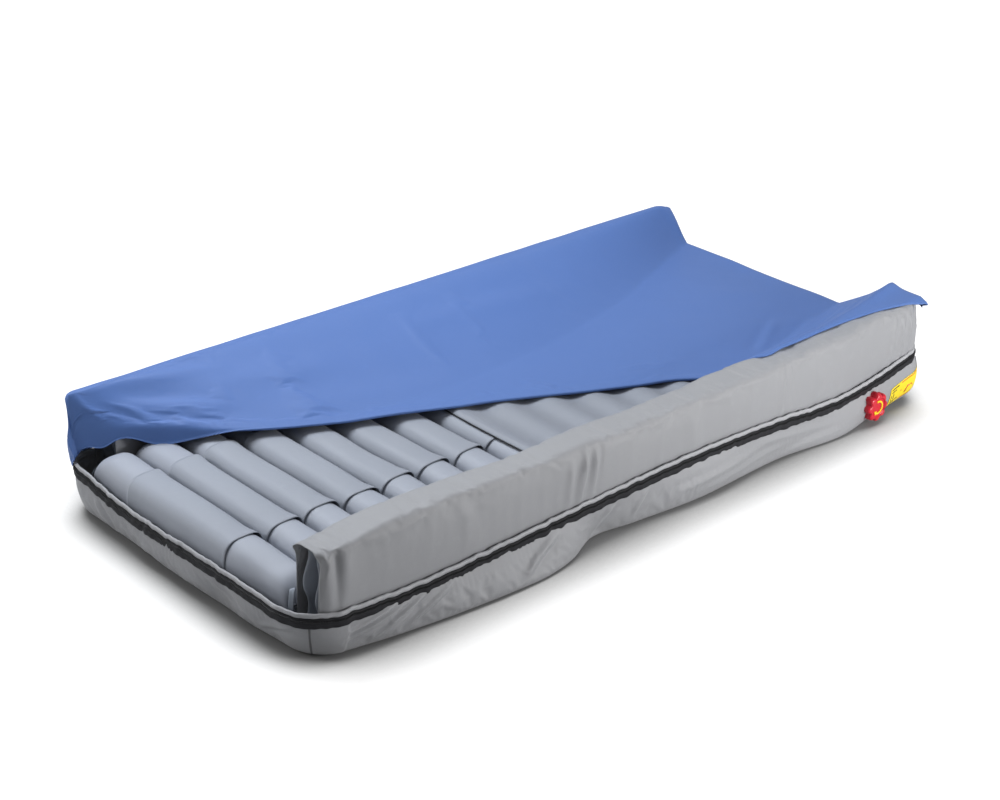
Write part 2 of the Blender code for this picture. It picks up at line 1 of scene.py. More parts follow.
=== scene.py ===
import math

import bmesh
import bpy
import numpy as np
from mathutils import Matrix, Vector


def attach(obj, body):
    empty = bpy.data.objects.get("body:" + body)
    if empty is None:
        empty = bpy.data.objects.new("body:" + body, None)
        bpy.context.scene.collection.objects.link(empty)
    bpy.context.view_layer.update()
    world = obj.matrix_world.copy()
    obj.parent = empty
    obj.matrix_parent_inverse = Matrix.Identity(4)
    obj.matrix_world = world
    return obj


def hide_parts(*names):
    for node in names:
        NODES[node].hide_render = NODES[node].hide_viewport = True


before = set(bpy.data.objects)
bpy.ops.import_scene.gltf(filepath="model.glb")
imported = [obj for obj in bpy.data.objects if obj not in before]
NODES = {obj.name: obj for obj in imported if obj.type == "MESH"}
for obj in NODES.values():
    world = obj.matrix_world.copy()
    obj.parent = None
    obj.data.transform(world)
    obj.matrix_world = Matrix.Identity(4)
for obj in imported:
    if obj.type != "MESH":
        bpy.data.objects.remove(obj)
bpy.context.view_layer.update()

TAU = 2 * math.pi
UP = np.array([0, 0, 1.0])

# ---------------------------------------------------------------- plan of the tray
LENGTH = 2.0
WIDTH = 0.92
CORNER = 0.110
STRAIGHT_X = LENGTH / 2 - CORNER
STRAIGHT_Y = WIDTH / 2 - CORNER
ARC = CORNER * math.pi / 2
HEAD_START = 2 * STRAIGHT_X + ARC
FAR_START = HEAD_START + 2 * STRAIGHT_Y + ARC
FOOT_START = FAR_START + 2 * STRAIGHT_X + ARC
ROUND = FOOT_START + 2 * STRAIGHT_Y + ARC


def near(x):
    return x + STRAIGHT_X


def head(y):
    return HEAD_START + y + STRAIGHT_Y


def far(x):
    return FAR_START + STRAIGHT_X - x


def foot(y):
    return FOOT_START + STRAIGHT_Y - y


NEAR_HEAD = HEAD_START - ARC / 2
FAR_HEAD = FAR_START - ARC / 2
FAR_FOOT = FOOT_START - ARC / 2
NEAR_FOOT = ROUND - ARC / 2

# each corner's radius in the order in which the rim meets them, and the least radius left by an inset
RADII = {"near_head": 0.045, "far_head": 0.070, "far_foot": 0.090, "near_foot": CORNER}
LEAST_BEND = 0.012


def rim(s, inset):
    """Plan points round the tray at s metres from the near side's foot end, inset from the outline.
    Each corner keeps the same share of s whatever its own radius."""
    s = np.asarray(s, float) % ROUND
    inset = np.asarray(inset, float) * np.ones(s.shape)
    centre = np.zeros(s.shape + (2,))
    out = np.zeros(s.shape + (2,))
    hubs = np.array([(-1, -1), (1, -1), (1, 1), (-1, 1)]) * (STRAIGHT_X, STRAIGHT_Y)
    ways = np.array([(1, 0), (0, 1), (-1, 0), (0, -1)], float)
    sides = np.array([(0, -1), (1, 0), (0, 1), (-1, 0)], float)
    legs = (2 * STRAIGHT_X, 2 * STRAIGHT_Y) * 2
    start = 0.0
    for k in range(4):
        on = (s >= start) & (s < start + legs[k])
        centre[on] = hubs[k] + (s[on] - start)[..., None] * ways[k]
        out[on] = sides[k]
        start += legs[k]
        on = (s >= start) & (s < start + ARC)
        radius = np.maximum(list(RADII.values())[k], np.minimum(CORNER, inset[on] + LEAST_BEND))
        extra = CORNER - radius
        bend = radius * math.pi / 2
        run = (s[on] - start) / ARC * (2 * extra + bend)
        turn = (np.clip(run - extra, 0, bend) / radius)[..., None]
        first, last = np.minimum(run, extra), np.clip(run - extra - bend, 0, None)
        out[on] = np.cos(turn) * sides[k] + np.sin(turn) * ways[k]
        centre[on] = (hubs[(k + 1) % 4] + ways[k] * first[..., None] + sides[k] * (extra - last)[..., None]
                      - out[on] * extra[..., None])
        start += ARC
    return centre + out * (CORNER - inset)[..., None]


# ---------------------------------------------------------------- shapes and noise
def smooth(t):
    t = np.clip(t, 0, 1)
    return t * t * (3 - 2 * t)


def hill(x, centre, width):
    return np.exp(-(((x - centre) / width) ** 2))


def curve(keys, loop=None):
    """A smooth function through (position, value) pairs; loop is the period where it closes."""
    keys = sorted(keys)
    x = np.array([k[0] for k in keys], float)
    y = np.array([k[1] for k in keys], float)
    if loop:
        x = np.concatenate([x - loop, x, x + loop])
        y = np.tile(y, 3)
    m = np.gradient(y, x)

    def at(t):
        t = np.asarray(t, float)
        if loop:
            t = t % loop
        k = np.clip(np.searchsorted(x, t) - 1, 0, len(x) - 2)
        h = x[k + 1] - x[k]
        q = np.clip((t - x[k]) / h, 0, 1)
        a, b = q * q * (3 - 2 * q), q * (1 - q)
        return y[k] * (1 - a) + y[k + 1] * a + h * (m[k] * b * (1 - q) - m[k + 1] * b * q)

    return at


def swell(seed, low, high, count=22, lean=None):
    """Seeded soft noise over two lengths in metres, from waves low to high metres long. Longer waves are
    stronger; lean gives the waves' mean direction and its spread in radians."""
    rng = np.random.default_rng(seed)
    length = np.exp(rng.uniform(math.log(low), math.log(high), count))
    angle = rng.uniform(0, math.pi, count)
    if lean is not None:
        angle = lean[0] + rng.normal(0, lean[1], count)
    phase = rng.uniform(0, TAU, count)
    amp = (length / high) ** 0.8
    amp /= math.sqrt(float((amp**2).sum()) / 2)

    def at(a, b):
        total = 0.0
        for L, w, p, h in zip(length, angle, phase, amp):
            total = total + h * np.sin(TAU * (a * math.cos(w) + b * math.sin(w)) / L + p)
        return total

    return at


def ridged(noise, sharp=0.5):
    """Thin raised lines where the noise crosses zero, as in crumpled cloth, with a mean near zero."""
    mean = 0.4

    def at(a, b):
        return np.exp(-((noise(a, b) / sharp) ** 2)) - mean

    return at


def crease(a, b, start, end, width, depth):
    """A fold along a line in the cloth's own lengths, with a shallow valley beside it."""
    da, db = end[0] - start[0], end[1] - start[1]
    span = math.hypot(da, db)
    along = ((a - start[0]) * da + (b - start[1]) * db) / span**2
    off = ((b - start[1]) * da - (a - start[0]) * db) / span
    fade_in, fade_out = 0.3, 0.35
    valley, valley_at = 0.55, 1.7 * width
    fade = smooth(along / fade_in) * smooth((1 - along) / fade_out)
    return depth * fade * (hill(off, 0, width) - valley * hill(off, valley_at, width))


def facing(points, ring=False, tube=False):
    """Unit normals of a grid of points; ring closes the first axis and tube the second."""
    du = np.roll(points, -1, 0) - np.roll(points, 1, 0)
    dv = np.roll(points, -1, 1) - np.roll(points, 1, 1)
    if not ring:
        du[0], du[-1] = points[1] - points[0], points[-1] - points[-2]
    if not tube:
        dv[:, 0], dv[:, -1] = points[:, 1] - points[:, 0], points[:, -1] - points[:, -2]
    n = np.cross(du, dv)
    return n / np.maximum(np.linalg.norm(n, axis=2, keepdims=True), 1e-12)


def run_length(points, axis, closed):
    """Mean length in metres from the first grid line to each of the others."""
    lines = np.moveaxis(points, axis, 0)
    step = np.linalg.norm(np.roll(lines, -1, 0) - lines, axis=2)
    if not closed:
        step[-1] = 0
    return np.concatenate([[0], np.cumsum(step.mean(1))])


def link(name, data):
    obj = bpy.data.objects.new(name, data)
    bpy.context.scene.collection.objects.link(obj)
    return obj


def lay(name, points, ring=False, tube=False, ends=False):
    """A grid of points as one smooth mesh, with UVs in metres. ends fills the two open rings of a tube."""
    p = np.asarray(points, float)
    n, m = p.shape[:2]
    u, v = run_length(p, 0, ring), run_length(p, 1, tube)
    i, j = np.meshgrid(np.arange(n if ring else n - 1), np.arange(m if tube else m - 1), indexing="ij")
    i, j = i.ravel(), j.ravel()
    i2, j2 = (i + 1) % n, (j + 1) % m
    faces = np.stack([i * m + j, i2 * m + j, i2 * m + j2, i * m + j2], axis=1).tolist()
    across = np.stack([u[i], u[i + 1], u[i + 1], u[i]], 1)
    down = np.stack([v[j], v[j], v[j + 1], v[j + 1]], 1)
    uv = np.stack([across, down], 2).reshape(-1, 2)
    if ends:
        faces += [list(range(m))[::-1], [(n - 1) * m + k for k in range(m)]]
        uv = np.concatenate([uv, np.zeros((2 * m, 2))])
    mesh = bpy.data.meshes.new(name)
    mesh.from_pydata(p.reshape(-1, 3).tolist(), [], faces)
    mesh.uv_layers.new(name="cut").data.foreach_set("uv", uv.astype(np.float32).ravel())
    mesh.polygons.foreach_set("use_smooth", [True] * len(mesh.polygons))
    return link(name, mesh)


def build(name, verts, faces):
    """A flat-shaded mesh from its points and faces."""
    mesh = bpy.data.meshes.new(name)
    mesh.from_pydata(np.asarray(verts, float).tolist(), [], [list(f) for f in faces])
    return link(name, mesh)


def thicken(obj, thickness, offset=0.0):
    """Gives a sheet its thickness in metres: centred at offset 0, inside at -1 and outside at 1."""
    mod = obj.modifiers.new("cloth", "SOLIDIFY")
    mod.thickness = thickness
    mod.offset = offset
    return obj


def points_of(mesh):
    co = np.empty(len(mesh.vertices) * 3, np.float32)
    mesh.vertices.foreach_get("co", co)
    return co.reshape(-1, 3).astype(float)


def move_points(obj, points):
    obj.data.vertices.foreach_set("co", points.astype(np.float32).ravel())
    obj.data.update()


SETTLE_FRAMES = 12
STIFFNESS = 18.0
PIN_STEP = 0.25


def relax(obj, hold, grow, bending, cap, pressure=0.0, gravity=0.0):
    """Lets the cloth settle: it is cut larger than its shape by grow and pinned by the weights in hold,
    so it buckles into soft wrinkles. No point moves further than cap."""
    rest = points_of(obj.data)
    group = obj.vertex_groups.new(name="held")
    for weight in np.arange(1.0, 0.0, -PIN_STEP).tolist():
        which = np.nonzero((hold > weight - PIN_STEP / 2) & (hold <= weight + PIN_STEP / 2))[0]
        if len(which):
            group.add([int(k) for k in which], weight, "REPLACE")
    mod = obj.modifiers.new("settle", "CLOTH")
    cloth = mod.settings
    cloth.quality = 5
    cloth.mass = 0.25
    cloth.tension_stiffness = STIFFNESS
    cloth.compression_stiffness = STIFFNESS
    cloth.shear_stiffness = STIFFNESS / 3
    cloth.bending_stiffness = bending
    cloth.tension_damping = 8
    cloth.compression_damping = 8
    cloth.shear_damping = 8
    cloth.air_damping = 4
    cloth.vertex_group_mass = "held"
    cloth.pin_stiffness = 1.0
    cloth.shrink_min = -grow
    cloth.use_pressure = pressure > 0
    cloth.uniform_pressure_force = pressure
    cloth.effector_weights.gravity = gravity
    mod.collision_settings.use_collision = False
    mod.point_cache.frame_start = 1
    mod.point_cache.frame_end = SETTLE_FRAMES
    for frame_number in range(1, SETTLE_FRAMES + 1):
        bpy.context.scene.frame_set(frame_number)
    shown = obj.evaluated_get(bpy.context.evaluated_depsgraph_get()).to_mesh()
    step = points_of(shown) - rest
    obj.modifiers.remove(mod)
    obj.vertex_groups.remove(group)
    bpy.context.scene.frame_set(1)
    size = np.linalg.norm(step, axis=1, keepdims=True)
    step *= cap * np.tanh(size / cap) / np.maximum(size, 1e-9)
    move_points(obj, rest + step)


def piece(obj, body, material, replaced=()):
    """Makes an object one of the part's pieces, with its material and the CAD nodes that it stands for."""
    obj.data.materials.clear()
    obj.data.materials.append(material)
    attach(obj, body)
    if replaced:
        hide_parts(*replaced)
    return obj


# ---------------------------------------------------------------- materials
class Graph:
    """A small helper for building one material's nodes."""

    def __init__(self, name):
        self.material = bpy.data.materials.new(name)
        self.material.use_nodes = True
        self.tree = self.material.node_tree
        self.bsdf = self.tree.nodes["Principled BSDF"]
        self.where = self.add("ShaderNodeTexCoord")

    def add(self, kind, settings=(), **inputs):
        node = self.tree.nodes.new(kind)
        for key, value in dict(settings).items():
            setattr(node, key, value)
        for key, value in inputs.items():
            self.put(node.inputs[key.replace("_", " ")], value)
        return node

    def put(self, socket, value):
        if isinstance(value, bpy.types.NodeSocket):
            self.tree.links.new(value, socket)
        elif isinstance(value, bpy.types.Node):
            self.tree.links.new(value.outputs[0], socket)
        else:
            socket.default_value = value

    def surface(self, **inputs):
        """Sets the shader's inputs; an underscore stands for a space."""
        for key, value in inputs.items():
            self.put(self.bsdf.inputs[key.replace("_", " ")], value)

    def math(self, operation, a, b=0.0):
        node = self.tree.nodes.new("ShaderNodeMath")
        node.operation = operation
        self.put(node.inputs[0], a)
        self.put(node.inputs[1], b)
        return node.outputs[0]

    def noise(self, scale, detail=3.0, where="Object", stretch=None):
        vector = self.where.outputs[where]
        if stretch:
            vector = self.add("ShaderNodeMapping", Vector=vector, Scale=stretch).outputs[0]
        return self.add("ShaderNodeTexNoise", Vector=vector, Scale=scale, Detail=detail).outputs["Fac"]

    def blend(self, factor, a, b):
        node = self.tree.nodes.new("ShaderNodeMix")
        node.data_type = "RGBA"
        self.put(node.inputs[0], factor)
        self.put(node.inputs[6], a)
        self.put(node.inputs[7], b)
        return node.outputs[2]

    def ramp(self, value, low, high, start, end):
        """Runs softly from start to end as value goes from low to high."""
        node = self.add("ShaderNodeMapRange", {"interpolation_type": "SMOOTHSTEP"})
        for socket, number in zip(node.inputs[1:5], (low, high, start, end)):
            socket.default_value = number
        self.put(node.inputs[0], value)
        return node.outputs[0]

    def bump(self, height, distance, strength=1.0, normal=None):
        node = self.add("ShaderNodeBump", Height=height, Distance=distance, Strength=strength)
        if normal is not None:
            self.put(node.inputs["Normal"], normal)
        return node.outputs[0]

    def threads(self, pitch):
        """A plain weave from the cloth's own UV lengths."""
        axes = self.add("ShaderNodeSeparateXYZ", Vector=self.where.outputs["UV"])
        turns = TAU / pitch
        a = self.math("SINE", self.math("MULTIPLY", axes.outputs[0], turns))
        b = self.math("SINE", self.math("MULTIPLY", axes.outputs[1], turns))
        return self.math("MULTIPLY", a, b)


def shade(colour, factor):
    return tuple(min(1.0, c * factor) for c in colour) + (1.0,)


# stitch rows: half a thread's width in metres, stitches to the metre, the thread's share of each stitch
STITCH_HALF = 0.0006
STITCHES = 250.0
STITCH_SHARE = 0.68
WEAVE_DEPTH = 0.00012


def fabric(name, colour, roughness=0.5, sheen=0.15, pitch=0.0011, mottle=0.06, crumple=0.0008,
           stitches=(), specular=0.4):
    """Coated cloth: weave, faint crumple, mottled colour and worn patches, with stitch rows by UV height."""
    g = Graph(name)
    patches = g.noise(2.3, 4.0)
    base = g.blend(patches, shade(colour, 1 - mottle), shade(colour, 1 + mottle))
    weave = g.threads(pitch)
    base = g.blend(g.math("MULTIPLY", g.math("ADD", weave, 1.0), 0.035), base, shade(colour, 0.72))
    wear = g.math("MULTIPLY", g.math("GREATER_THAN", g.noise(41.0, 6.0), 0.66), 0.10)
    base = g.blend(wear, base, shade(colour, 1.25))
    normal = g.bump(g.noise(26.0, 5.0), crumple)
    normal = g.bump(weave, WEAVE_DEPTH, 0.5, normal)
    axes = g.add("ShaderNodeSeparateXYZ", Vector=g.where.outputs["UV"])
    for height in stitches:
        off_row = g.math("ABSOLUTE", g.math("SUBTRACT", axes.outputs[1], height))
        on_row = g.math("LESS_THAN", off_row, STITCH_HALF)
        in_stitch = g.math("FRACT", g.math("MULTIPLY", axes.outputs[0], STITCHES))
        thread = g.math("MULTIPLY", on_row, g.math("LESS_THAN", in_stitch, STITCH_SHARE))
        base = g.blend(g.math("MULTIPLY", thread, 0.6), base, shade(colour, 0.45))
        normal = g.bump(thread, STITCH_HALF, 1.0, normal)
    rough_spread = 0.14
    rough = g.math("MULTIPLY", g.noise(9.0, 3.0), rough_spread)
    g.surface(Base_Color=base, Roughness=g.math("ADD", rough, roughness - rough_spread / 2), Normal=normal,
              Specular_IOR_Level=specular, Sheen_Weight=sheen, Sheen_Roughness=0.45)
    return g.material


def plastic(name, colour, roughness, mottle=0.05, grain=0.0001, scale=160.0, metallic=0.0, see=0.0, coat=0.0):
    """Moulded plastic, foam or painted metal: mottled colour, a fine grain and scuffs in its gloss."""
    g = Graph(name)
    base = g.blend(g.noise(14.0, 5.0), shade(colour, 1 - mottle), shade(colour, 1 + mottle))
    rough_spread = 0.22
    scuffs = g.math("MULTIPLY", g.noise(70.0, 6.0), rough_spread)
    g.surface(Base_Color=base, Roughness=g.math("ADD", scuffs, roughness - rough_spread / 2),
              Normal=g.bump(g.noise(scale, 2.0), grain), Metallic=metallic, Transmission_Weight=see,
              Coat_Weight=coat)
    return g.material


GREY = (0.300, 0.303, 0.318)
tray_cloth = fabric("tray_cloth", GREY, 0.46, stitches=(0.004,), crumple=0.0012)
bolster_cloth = fabric("bolster_cloth", GREY, 0.46, crumple=0.0012)
hem_cloth = fabric("hem_cloth", shade(GREY, 1.25)[:3], 0.42, stitches=(0.0022,))
cell_cloth = fabric("cell_cloth", (0.340, 0.364, 0.420), 0.36, sheen=0.05, pitch=0.0008, crumple=0.0004)
sleeve_cloth = fabric("sleeve_cloth", (0.290, 0.313, 0.362), 0.42, crumple=0.0006, stitches=(0.006,))
overlay_cloth = fabric("overlay_cloth", (0.250, 0.270, 0.315), 0.38, crumple=0.0006, stitches=(0.006,))
seam_cloth = fabric("seam_cloth", shade(GREY, 0.35)[:3], 0.6)
base_cloth = fabric("base_cloth", (0.05, 0.05, 0.055), 0.6)
blue_cloth = fabric("blue_cloth", (0.087, 0.170, 0.430), 0.46, specular=0.28, sheen=0.05, mottle=0.03,
                    crumple=0.0006)
tape_cloth = fabric("tape_cloth", (0.020, 0.020, 0.023), 0.6, pitch=0.0015, crumple=0.0002, sheen=0.0,
                    specular=0.2)
tie_cloth = fabric("tie_cloth", (0.26, 0.29, 0.34), 0.6, pitch=0.0016)
dark_inside = fabric("dark_inside", (0.20, 0.22, 0.26), 0.5)
coil_plastic = plastic("coil_plastic", (0.012, 0.012, 0.013), 0.38)
foam_stuff = plastic("foam_stuff", (0.62, 0.55, 0.33), 0.9, mottle=0.1, grain=0.0006, scale=420.0)
tube_plastic = plastic("tube_plastic", (0.74, 0.79, 0.82), 0.18, see=0.75)
red_plastic = plastic("red_plastic", (0.58, 0.010, 0.028), 0.36, coat=0.1)
dark_plastic = plastic("dark_plastic", (0.035, 0.035, 0.038), 0.5)
pale_plastic = plastic("pale_plastic", (0.66, 0.66, 0.63), 0.5)
yellow_film = plastic("yellow_film", (0.86, 0.66, 0.02), 0.4, mottle=0.02)
ink = plastic("ink", (0.02, 0.02, 0.02), 0.5)
red_ink = plastic("red_ink", (0.62, 0.03, 0.03), 0.5)
slider_metal = plastic("slider_metal", (0.07, 0.07, 0.075), 0.36, metallic=0.6)

# ---------------------------------------------------------------- the tray wall
# heights of the zip's middle, level along the far side, where the slider runs
ZIP_LEVEL = 0.0985
zip_height = curve([
    (near(-0.864), 0.098), (near(-0.759), 0.0915), (near(-0.48), 0.095), (near(-0.178), 0.107),
    (near(0.152), 0.113), (near(0.40), 0.106), (near(0.517), 0.098), (near(0.674), 0.090),
    (near(0.793), 0.101), (near(0.88), 0.116), (NEAR_HEAD, 0.138), (head(-0.25), 0.124),
    (head(0.0), 0.112), (head(0.2), 0.104), (far(0.90), ZIP_LEVEL), (far(0.87), ZIP_LEVEL),
    (far(0.0), ZIP_LEVEL), (far(-0.87), ZIP_LEVEL), (far(-0.90), ZIP_LEVEL), (FAR_FOOT, 0.112),
    (foot(0.35), 0.113), (foot(0.27), 0.101), (foot(0.13), 0.093), (foot(-0.02), 0.097),
    (foot(-0.17), 0.101), (NEAR_FOOT, 0.101),
], ROUND)
# how far the wall's bottom edge lies inside the plan
tuck = curve([
    (near(-0.864), 0.018), (near(-0.758), -0.003), (near(-0.648), -0.018), (near(-0.476), -0.033),
    (near(-0.356), -0.036), (near(-0.265), -0.016), (near(-0.178), 0.024), (near(-0.041), 0.012),
    (near(0.165), -0.005), (near(0.307), 0.0), (near(0.455), 0.004), (near(0.691), -0.018),
    (near(0.80), 0.002), (NEAR_HEAD, 0.012), (head(0.0), 0.004), (FAR_HEAD, 0.012), (far(0.5), -0.004),
    (far(0.0), 0.008), (far(-0.5), -0.006), (FAR_FOOT, 0.022), (foot(0.2), 0.028), (foot(0.0), 0.026),
    (foot(-0.2), 0.028), (NEAR_FOOT, 0.036),
], ROUND)
rumple = ridged(swell(3, 0.05, 0.20, 20, (0.9, 0.5)), 0.45)
slack = swell(5, 0.16, 0.7, 14, (0.2, 0.5))
KNOB_X, KNOB_Z = 0.8, 0.051
KNOB_CALM = 0.055
SLIDER_END = 0.88


def between(s, start, rise, end, fall):
    """1 from start to end, with soft ends of the lengths rise and fall inside them."""
    return smooth((s - start) / rise) * smooth((end - s) / fall)


def calm(s):
    """0 where the wall is held flat, round the knob and under the label, and half way to 1 beside them."""
    flat = hill(s, near(KNOB_X), KNOB_CALM) + between(s, near(0.83), 0.04, NEAR_HEAD + 0.08, 0.05)
    taut = 0.45 * between(s, near(0.05), 0.12, near(0.80), 0.08)
    return np.clip(1 - np.maximum(flat, taut), 0, 1)


def slider_run(s):
    """1 along the far side, where the zip slider travels on a flat band."""
    return between(s, far(SLIDER_END), 0.02, far(-SLIDER_END), 0.02)


# the wall's belly between base and zip, its roll on to the floor, and its small and long folds, in metres
BELLY, BELLY_VARIES, HEAD_BULGE = 0.006, 0.003, 0.013
ROLL, HEAD_ROLL, ROLL_DEPTH = 0.020, 0.034, 0.65
RUMPLE_DEPTH, SLACK_DEPTH = 0.0004, 0.0022
PUCKER_LENGTH = 0.013
FLAT_FROM, FLAT_SOFT = 0.66, 0.14


def wall(s, z):
    """Points on the tray wall's outside at s round the rim and height z."""
    top = zip_height(s)
    t = np.clip(z / top, 0, 1)
    swing = tuck(s) * (1 - t) ** 1.3
    bulge = BELLY + BELLY_VARIES * slack(s, 0.1) + HEAD_BULGE * hill(s, NEAR_HEAD + 0.02, 0.08)
    belly = -bulge * np.sin(math.pi * t)
    roll = ROLL + HEAD_ROLL * hill(s, NEAR_HEAD, 0.10)
    turn = ROLL_DEPTH * roll * (1 - np.sqrt(1 - (1 - np.clip(z / roll, 0, 1)) ** 2))
    fold = RUMPLE_DEPTH * rumple(s, z) * smooth(t / 0.3)
    fold = fold + SLACK_DEPTH * slack(s, z * 1.5) * np.sin(math.pi * t)
    for at, wide, deep, drop in PUCKERS:
        fade = smooth((z - (top - drop)) / drop)
        fold = fold + deep * fade * np.sin(TAU * (s - at) / PUCKER_LENGTH) * hill(s, at, wide)
    for start, end, width, depth in WALL_FOLDS:
        fold = fold + crease(s, z, start, end, width, depth)
    ease = 1 - slider_run(s) * smooth((t - FLAT_FROM) / FLAT_SOFT)
    plan = rim(s, swing + turn + (belly - fold * calm(s)) * ease)
    return np.concatenate([plan, z[..., None]], -1)


# puckers that hang from the zip where the tape is gathered: place, spread, depth and drop
PUCKERS = (
    (foot(-0.30), 0.035, 0.0026, 0.045), (foot(0.02), 0.030, 0.0020, 0.040),
    (foot(0.16), 0.045, 0.0016, 0.035), (near(-0.42), 0.05, 0.0010, 0.03), (near(0.30), 0.06, 0.0010, 0.03),
    (near(-0.60), 0.05, 0.0012, 0.03), (head(0.1), 0.05, 0.0015, 0.04), (far(0.2), 0.06, 0.0010, 0.03),
)
# folds in the wall: start (place, height), end (place, height), width and depth
WALL_FOLDS = (
    ((near(-0.74), 0.092), (NEAR_FOOT + 0.010 - ROUND, 0.050), 0.0045, 0.0070),
    ((near(-0.70), 0.090), (NEAR_FOOT + 0.016 - ROUND, 0.028), 0.0050, 0.0060),
    ((near(-0.67), 0.090), (near(-0.84), 0.026), 0.0050, 0.0060),
    ((near(-0.60), 0.088), (near(-0.76), 0.022), 0.0060, 0.0040),
    ((NEAR_FOOT - 0.02, 0.088), (foot(-0.26), 0.030), 0.0060, 0.0050),
    ((near(-0.30), 0.094), (near(-0.45), 0.025), 0.010, 0.0065),
    ((near(-0.12), 0.098), (near(-0.20), 0.020), 0.008, 0.0060),
    ((near(-0.02), 0.100), (near(-0.07), 0.030), 0.008, 0.0035),
    ((near(0.02), 0.050), (near(0.45), 0.072), 0.010, 0.0050),
    ((near(0.10), 0.028), (near(0.52), 0.050), 0.009, 0.0040),
    ((near(0.30), 0.088), (near(0.66), 0.044), 0.009, 0.0045),
    ((near(0.45), 0.020), (near(0.70), 0.030), 0.008, 0.0040),
    ((foot(-0.10), 0.085), (foot(-0.26), 0.020), 0.010, 0.0040),
    ((foot(0.20), 0.080), (foot(0.05), 0.025), 0.010, 0.0035),
    ((foot(0.32), 0.085), (foot(0.26), 0.020), 0.010, 0.0040),
    ((head(-0.2), 0.09), (head(-0.05), 0.02), 0.012, 0.0045),
    ((head(0.22), 0.09), (head(0.12), 0.02), 0.012, 0.0045),
    ((far(0.62), 0.085), (far(0.40), 0.02), 0.012, 0.0040),
    ((far(0.15), 0.085), (far(0.30), 0.02), 0.012, 0.0040),
    ((far(-0.35), 0.085), (far(-0.55), 0.02), 0.012, 0.0040),
)



def outward(s):
    """The way out of the tray in plan at s, from two points a centimetre apart."""
    return (rim(s, 0.0) - rim(s, 0.01)) * 100


def ring_row(s, inset, height):
    """One closed row of a grid: round the rim at s, at an inset and a height."""
    return np.concatenate([rim(s, inset), (height + 0 * s)[:, None]], 1)[:, None]


AROUND = 1240
COATED = 0.0012
WALL_FOOT = 0.0024
LOW_PART = 0.18
ring_s = np.linspace(0, ROUND, AROUND, endpoint=False)
rows = np.concatenate([np.linspace(0.0, LOW_PART, 7)[1:], np.linspace(LOW_PART, 1.0, 26)[1:]])
S, T = np.meshgrid(ring_s, rows, indexing="ij")
skin = wall(S, WALL_FOOT + T * (zip_height(S) - WALL_FOOT))
under = [ring_row(ring_s, tuck(ring_s) + back, height)
         for back, height in ((0.054, 0.0020), (0.034, 0.0020), (0.022, 0.0021))]
behind = ring_row(ring_s, 0.0022, zip_height(ring_s) + 0.012)
border = lay("tray_border", np.concatenate(under + [skin, behind], axis=1), ring=True)
level = np.concatenate([np.zeros((AROUND, 3)), T, np.ones((AROUND, 1))], 1)
grip = 1 - smooth(np.minimum(level / 0.15, (0.84 - level) / 0.25))
calm_wall = np.repeat(calm(ring_s)[:, None], level.shape[1], 1)
relax(border, np.maximum(grip, 1 - calm_wall).ravel(), grow=0.010, pressure=0.8, bending=3.0, cap=0.0030)
thicken(border, COATED, -1.0)
piece(border, "mattress", tray_cloth,
      ["border_near", "border_far", "border_head", "border_foot"])

# the seams in the corners: a raised piping line down the wall
PIPING, PIPING_WIDTH = 0.0017, 1.4
settled_wall = points_of(border.data).reshape(AROUND, -1, 3)[:, 5:-4]
for k, at in enumerate((NEAR_FOOT, NEAR_HEAD, FAR_HEAD, FAR_FOOT)):
    i = int(round(at / ROUND * AROUND)) % AROUND
    side = settled_wall[(i + 2) % AROUND] - settled_wall[i - 2]
    side /= np.linalg.norm(side, axis=1, keepdims=True)
    out = np.cross(side, UP)
    turn = np.linspace(0, TAU, 8, endpoint=False)
    tube = settled_wall[i][:, None] + PIPING * (np.cos(turn)[None, :, None] * side[:, None] * PIPING_WIDTH
                                                + np.sin(turn)[None, :, None] * out[:, None])
    piece(lay(f"corner_seam_{k + 1}", tube, tube=True, ends=True), "mattress", seam_cloth)

# the base panel, cut to the wall's bottom edge
def fill_holes(obj, half_x=LENGTH, half_y=WIDTH):
    """Closes the open rings of a mesh that lie within half_x and half_y of the centre."""
    bm = bmesh.new()
    bm.from_mesh(obj.data)
    open_edges = [e for e in bm.edges if e.is_boundary
                  and all(abs(v.co.x) < half_x and abs(v.co.y) < half_y for v in e.verts)]
    bmesh.ops.holes_fill(bm, edges=open_edges, sides=0)
    bm.to_mesh(obj.data)
    bm.free()


ring_b = np.linspace(0, ROUND, 360, endpoint=False)
base_rows = [ring_row(ring_b, tuck(ring_b) * f + back, 0.0016)
             for f, back in ((1.0, 0.018), (0.8, 0.033), (0.3, 0.068), (0.0, 0.103))]
base = lay("tray_base", np.concatenate(base_rows, 1), ring=True)
fill_holes(base, 0.93, 0.40)
thicken(base, COATED)
piece(base, "mattress", base_cloth, ["base_panel"])

# the foam under the cells, kept inside the wall's tucked bottom edge
FOAM_TOP = 0.0448
foam_in = np.maximum(tuck(ring_b), 0) * 0.9 + 0.024
foam_rows = [ring_row(ring_b, foam_in + d, z)
             for d, z in ((0.010, 0.0040), (0.002, 0.0052), (0.0, 0.009), (0.0, FOAM_TOP - 0.006),
                          (0.002, FOAM_TOP - 0.001), (0.006, FOAM_TOP))]
foam = lay("foam_slab", np.concatenate(foam_rows, 1), ring=True)
fill_holes(foam)
piece(foam, "mattress", foam_stuff, ["foam_base"])

# ---------------------------------------------------------------- zip tape, coil and hem
jitter = swell(11, 0.02, 0.09, 16, (0.0, 0.05))
# places where the zip is pushed up or down out of its line: place, spread and share
KINKS = ((foot(0.10), 0.012, 1.0), (foot(0.035), 0.016, -1.0), (foot(-0.02), 0.010, 0.8),
         (near(0.47), 0.020, 0.7), (near(0.62), 0.018, 0.6), (near(0.55), 0.020, -0.5))


def kink(s):
    return sum(share * hill(s, at, wide) for at, wide, share in KINKS)


